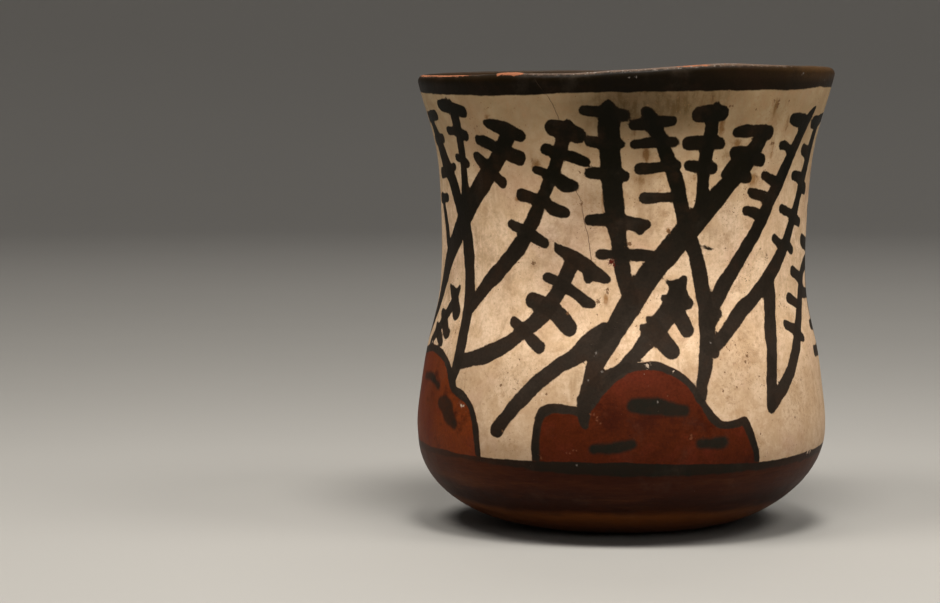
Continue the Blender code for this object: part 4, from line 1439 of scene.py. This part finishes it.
# the plain inside
innerFinish = {
    "clay": colour(0.300, 0.128, 0.058),
    "clayThin": colour(0.390, 0.185, 0.092),
    "clayDense": colour(0.190, 0.080, 0.038),
    "clayUneven": 0.9,
    # darker clay for the floor, the stains and the specks, and painted shade in the pinholes
    "darkStainAndShade": colour(0.075, 0.040, 0.024),
    "dust": colour(0.47, 0.34, 0.23),
    "bandUneven": 0.8,  # the rest of the band's paint is the outside's
    "bandEdge": (0.55, 0.30),  # how far it wanders and how soft it is
    "wiping": {"scale": 62.0, "detail": 5.0, "roughness": 0.65, "distortion": 0.2,
               "squeeze": (1.0, 1.0, 9.0)},
    "grit": 0.55,
    "facets": 0.10,
    "age": 1.0,
    "specular": 0.22,
    "bumpStrength": 0.65,
    "bumpDepth": 0.00040,
}


def dressInner(material):
    finish = innerFinish
    tree, shader, vector, height, grain, patina = startMaterial(material, finish)
    shown = brushed(tree, vector, finish["clay"], finish, "clay")

    # level wiping marks left by a wet cloth or a wad of grass, then darker towards the floor, stains, specks
    # and dust
    wiping = cloud(tree, vector, **finish["wiping"])
    clayLayers = [
        (mapped(tree, wiping, 0.36, 0.52, 0.45, 0.0), "clayDense"),
        (mapped(tree, wiping, 0.54, 0.74, 0.0, 0.40), "clayThin"),
        (mapped(tree, height, 0.060, 0.012, 0.0, 0.45), "darkStainAndShade"),
        (times(tree, patina["Stain"], 0.60), "darkStainAndShade"),
        (times(tree, patina["Dust"], 0.45), "dust"),
        (times(tree, patina["Specks"], 0.60), "darkStainAndShade"),
    ]
    for mask, name in clayLayers:
        shown = mixColour(tree, mask, shown, finish[name])

    # the rim band reaches a little way in over the lip
    bandPaint = dict(outerFinish, bandUneven=finish["bandUneven"])
    band = brushed(tree, vector, outerFinish["band"], bandPaint, "band")
    bandMask = edgeMask(tree, vector, "rimBand", *finish["bandEdge"])
    bare, rubAndHighlight = lipMasks(tree, vector)
    shown = mixColour(tree, bandMask, shown, band)
    shown = mixColour(tree, rubAndHighlight, shown, outerFinish["rubbedAndHighlight"])
    shown = mixColour(tree, bare, shown, outerFinish["bareClay"])
    # painted shade in the pinholes
    shown = mixColour(tree, times(tree, grain["Pits"], 0.45), shown, finish["darkStainAndShade"])
    rough = mixValue(tree, bandMask, mapped(tree, wiping, 0.3, 0.7, 0.70, 0.84), 0.38)
    rough = mixValue(tree, bare, rough, 0.74)
    relief = timesPlus(tree, wiping, 1.1, grain["Height"])
    finishMaterial(tree, shader, finish, shown, rough, relief)


# the vessel, put together
outerClay = bpy.data.materials.new("slipPaintedClay")
innerClay = bpy.data.materials.new("wipedInnerClay")
vessel, profileRows, crestRow, firstOuterRow = turnVessel(vesselForm, outerClay, innerClay)
print("vessel turned:", len(vessel.data.vertices), "vertices,", len(vessel.data.polygons), "faces")
wall = wallMap(vessel, profileRows, crestRow)
handWork(vessel, wall, firstOuterRow, vesselForm)
layPaint(vessel, wall, firstOuterRow)
layTexture(vessel, wall, profileRows, firstOuterRow, vesselForm, textureLayout)
print("painting laid out")
dressOuter(outerClay, vessel, wall, firstOuterRow)
dressInner(innerClay)
print("materials dressed")

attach(vessel, "root")
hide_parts("vase")


# floor, light and camera
stageSet = {
    # the floor, in metres: flat rings, then a curve that climbs behind in short steps
    "flatRings": (0.4, 0.9, 1.7),
    "curveRadius": 1.3,
    "curveSteps": 12,
    "stepDegrees": 6.0,
    "sides": 72,
    "floorNear": colour(0.300, 0.290, 0.272),
    "floorFar": colour(0.620, 0.600, 0.570),
    "floorFade": (0.35, 2.2),  # metres from the vessel, where the near tone ends and the far one begins
    "floorRoughness": 0.8,
    "floorSpecular": 0.2,
    "aimHeight": 0.065,
    # degrees round from the front, degrees above level, metres away, metres across, watts
    "lights": {
        "keyLight": (12, 68, 0.70, 0.24, 5.3),
        "frontLight": (14, 20, 1.10, 0.50, 1.5),
        "leftLight": (-54, 60, 0.80, 0.34, 3.9),
        "rightLight": (66, 50, 0.85, 0.34, 3.2),
        "backLight": (178, 58, 1.30, 0.80, 5.0),
    },
    "lightColour": (1.0, 0.965, 0.915),
    "airColour": colour(1.0, 0.97, 0.93),
    "airStrength": 0.08,
}


def makeFloor(setting):
    # a wide pale floor that curves up far behind, the same from every side
    bend = setting["curveRadius"]
    sides = setting["sides"]
    line = [(radius, 0.0) for radius in setting["flatRings"]]
    for step in range(1, setting["curveSteps"] + 1):
        angle = math.radians(step * setting["stepDegrees"])
        line.append((setting["flatRings"][-1] + bend * math.sin(angle), bend * (1 - math.cos(angle))))
    corners = []
    for radius, height in line:
        for side in range(sides):
            angle = math.tau * side / sides
            corners.append((radius * math.cos(angle), radius * math.sin(angle), height))
    faces = [tuple(range(sides))]
    for ring in range(len(line) - 1):
        near, far = ring * sides, (ring + 1) * sides
        for side in range(sides):
            after = (side + 1) % sides
            faces.append((near + side, near + after, far + after, far + side))
    mesh = bpy.data.meshes.new("paleFloor")
    mesh.from_pydata(corners, [], faces)
    body = bmesh.new()
    body.from_mesh(mesh)
    for face in body.faces:
        face.normal_update()
        if face.normal.z < 0:
            face.normal_flip()
        face.smooth = True
    body.to_mesh(mesh)
    body.free()
    floor = bpy.data.objects.new("paleFloor", mesh)
    bpy.context.scene.collection.objects.link(floor)

    material = bpy.data.materials.new("paleFloor")
    material.use_nodes = True
    tree = material.node_tree
    shader = tree.nodes["Principled BSDF"]
    vector = addNode(tree, "ShaderNodeTexCoord").outputs["Object"]
    away = addNode(tree, "ShaderNodeVectorMath", operation="LENGTH")
    feed(tree, away.inputs[0], vector)
    tone = timesPlus(tree, cloud(tree, vector, 6.0, 4.0, 0.6), 0.06, -0.03)
    share = calc(tree, "ADD", mapped(tree, away.outputs["Value"], *setting["floorFade"]), tone, clamp=True)
    feed(tree, shader.inputs["Base Color"], mixColour(tree, share, setting["floorNear"], setting["floorFar"]))
    feed(tree, shader.inputs["Roughness"], setting["floorRoughness"])
    feed(tree, shader.inputs["Specular IOR Level"], setting["floorSpecular"])
    mesh.materials.append(material)


def softLight(name, setting):
    turn, rise, away, size, power = setting["lights"][name]
    turn, rise = math.radians(turn), math.radians(rise)
    data = bpy.data.lights.new(name, "AREA")
    data.shape = "DISK"
    data.size = size
    data.energy = power
    data.color = setting["lightColour"]
    towards = Vector((math.cos(rise) * math.sin(turn), -math.cos(rise) * math.cos(turn), math.sin(rise)))
    light = bpy.data.objects.new(name, data)
    light.location = towards * away + Vector((0.0, 0.0, setting["aimHeight"]))
    light.rotation_euler = towards.to_track_quat("Z", "Y").to_euler()
    bpy.context.scene.collection.objects.link(light)


makeFloor(stageSet)
for name in stageSet["lights"]:
    softLight(name, stageSet)
world = bpy.data.worlds.new("softRoom")
world.use_nodes = True
air = world.node_tree.nodes["Background"]
air.inputs["Color"].default_value = stageSet["airColour"]
air.inputs["Strength"].default_value = stageSet["airStrength"]
bpy.context.scene.world = world
bpy.context.scene.view_settings.view_transform = "Standard"

# the photograph's view: a long lens nearly level with the lip, looking a little down
cameraSet = {
    "place": (0.0, -0.888, 0.1315),
    "pitchDown": 4.27,
    "turnLeft": 2.89,
    "lens": 114.9,
    "sensor": 36.0,
    "near": 0.01,
    "far": 50.0,
}
cameraData = bpy.data.cameras.new("camera")
cameraData.lens = cameraSet["lens"]
cameraData.sensor_width = cameraSet["sensor"]
cameraData.clip_start = cameraSet["near"]
cameraData.clip_end = cameraSet["far"]
camera = bpy.data.objects.new("camera", cameraData)
camera.location = cameraSet["place"]
camera.rotation_euler = (math.radians(90 - cameraSet["pitchDown"]), 0.0, math.radians(cameraSet["turnLeft"]))
bpy.context.scene.collection.objects.link(camera)
bpy.context.scene.camera = camera
print("stage set")
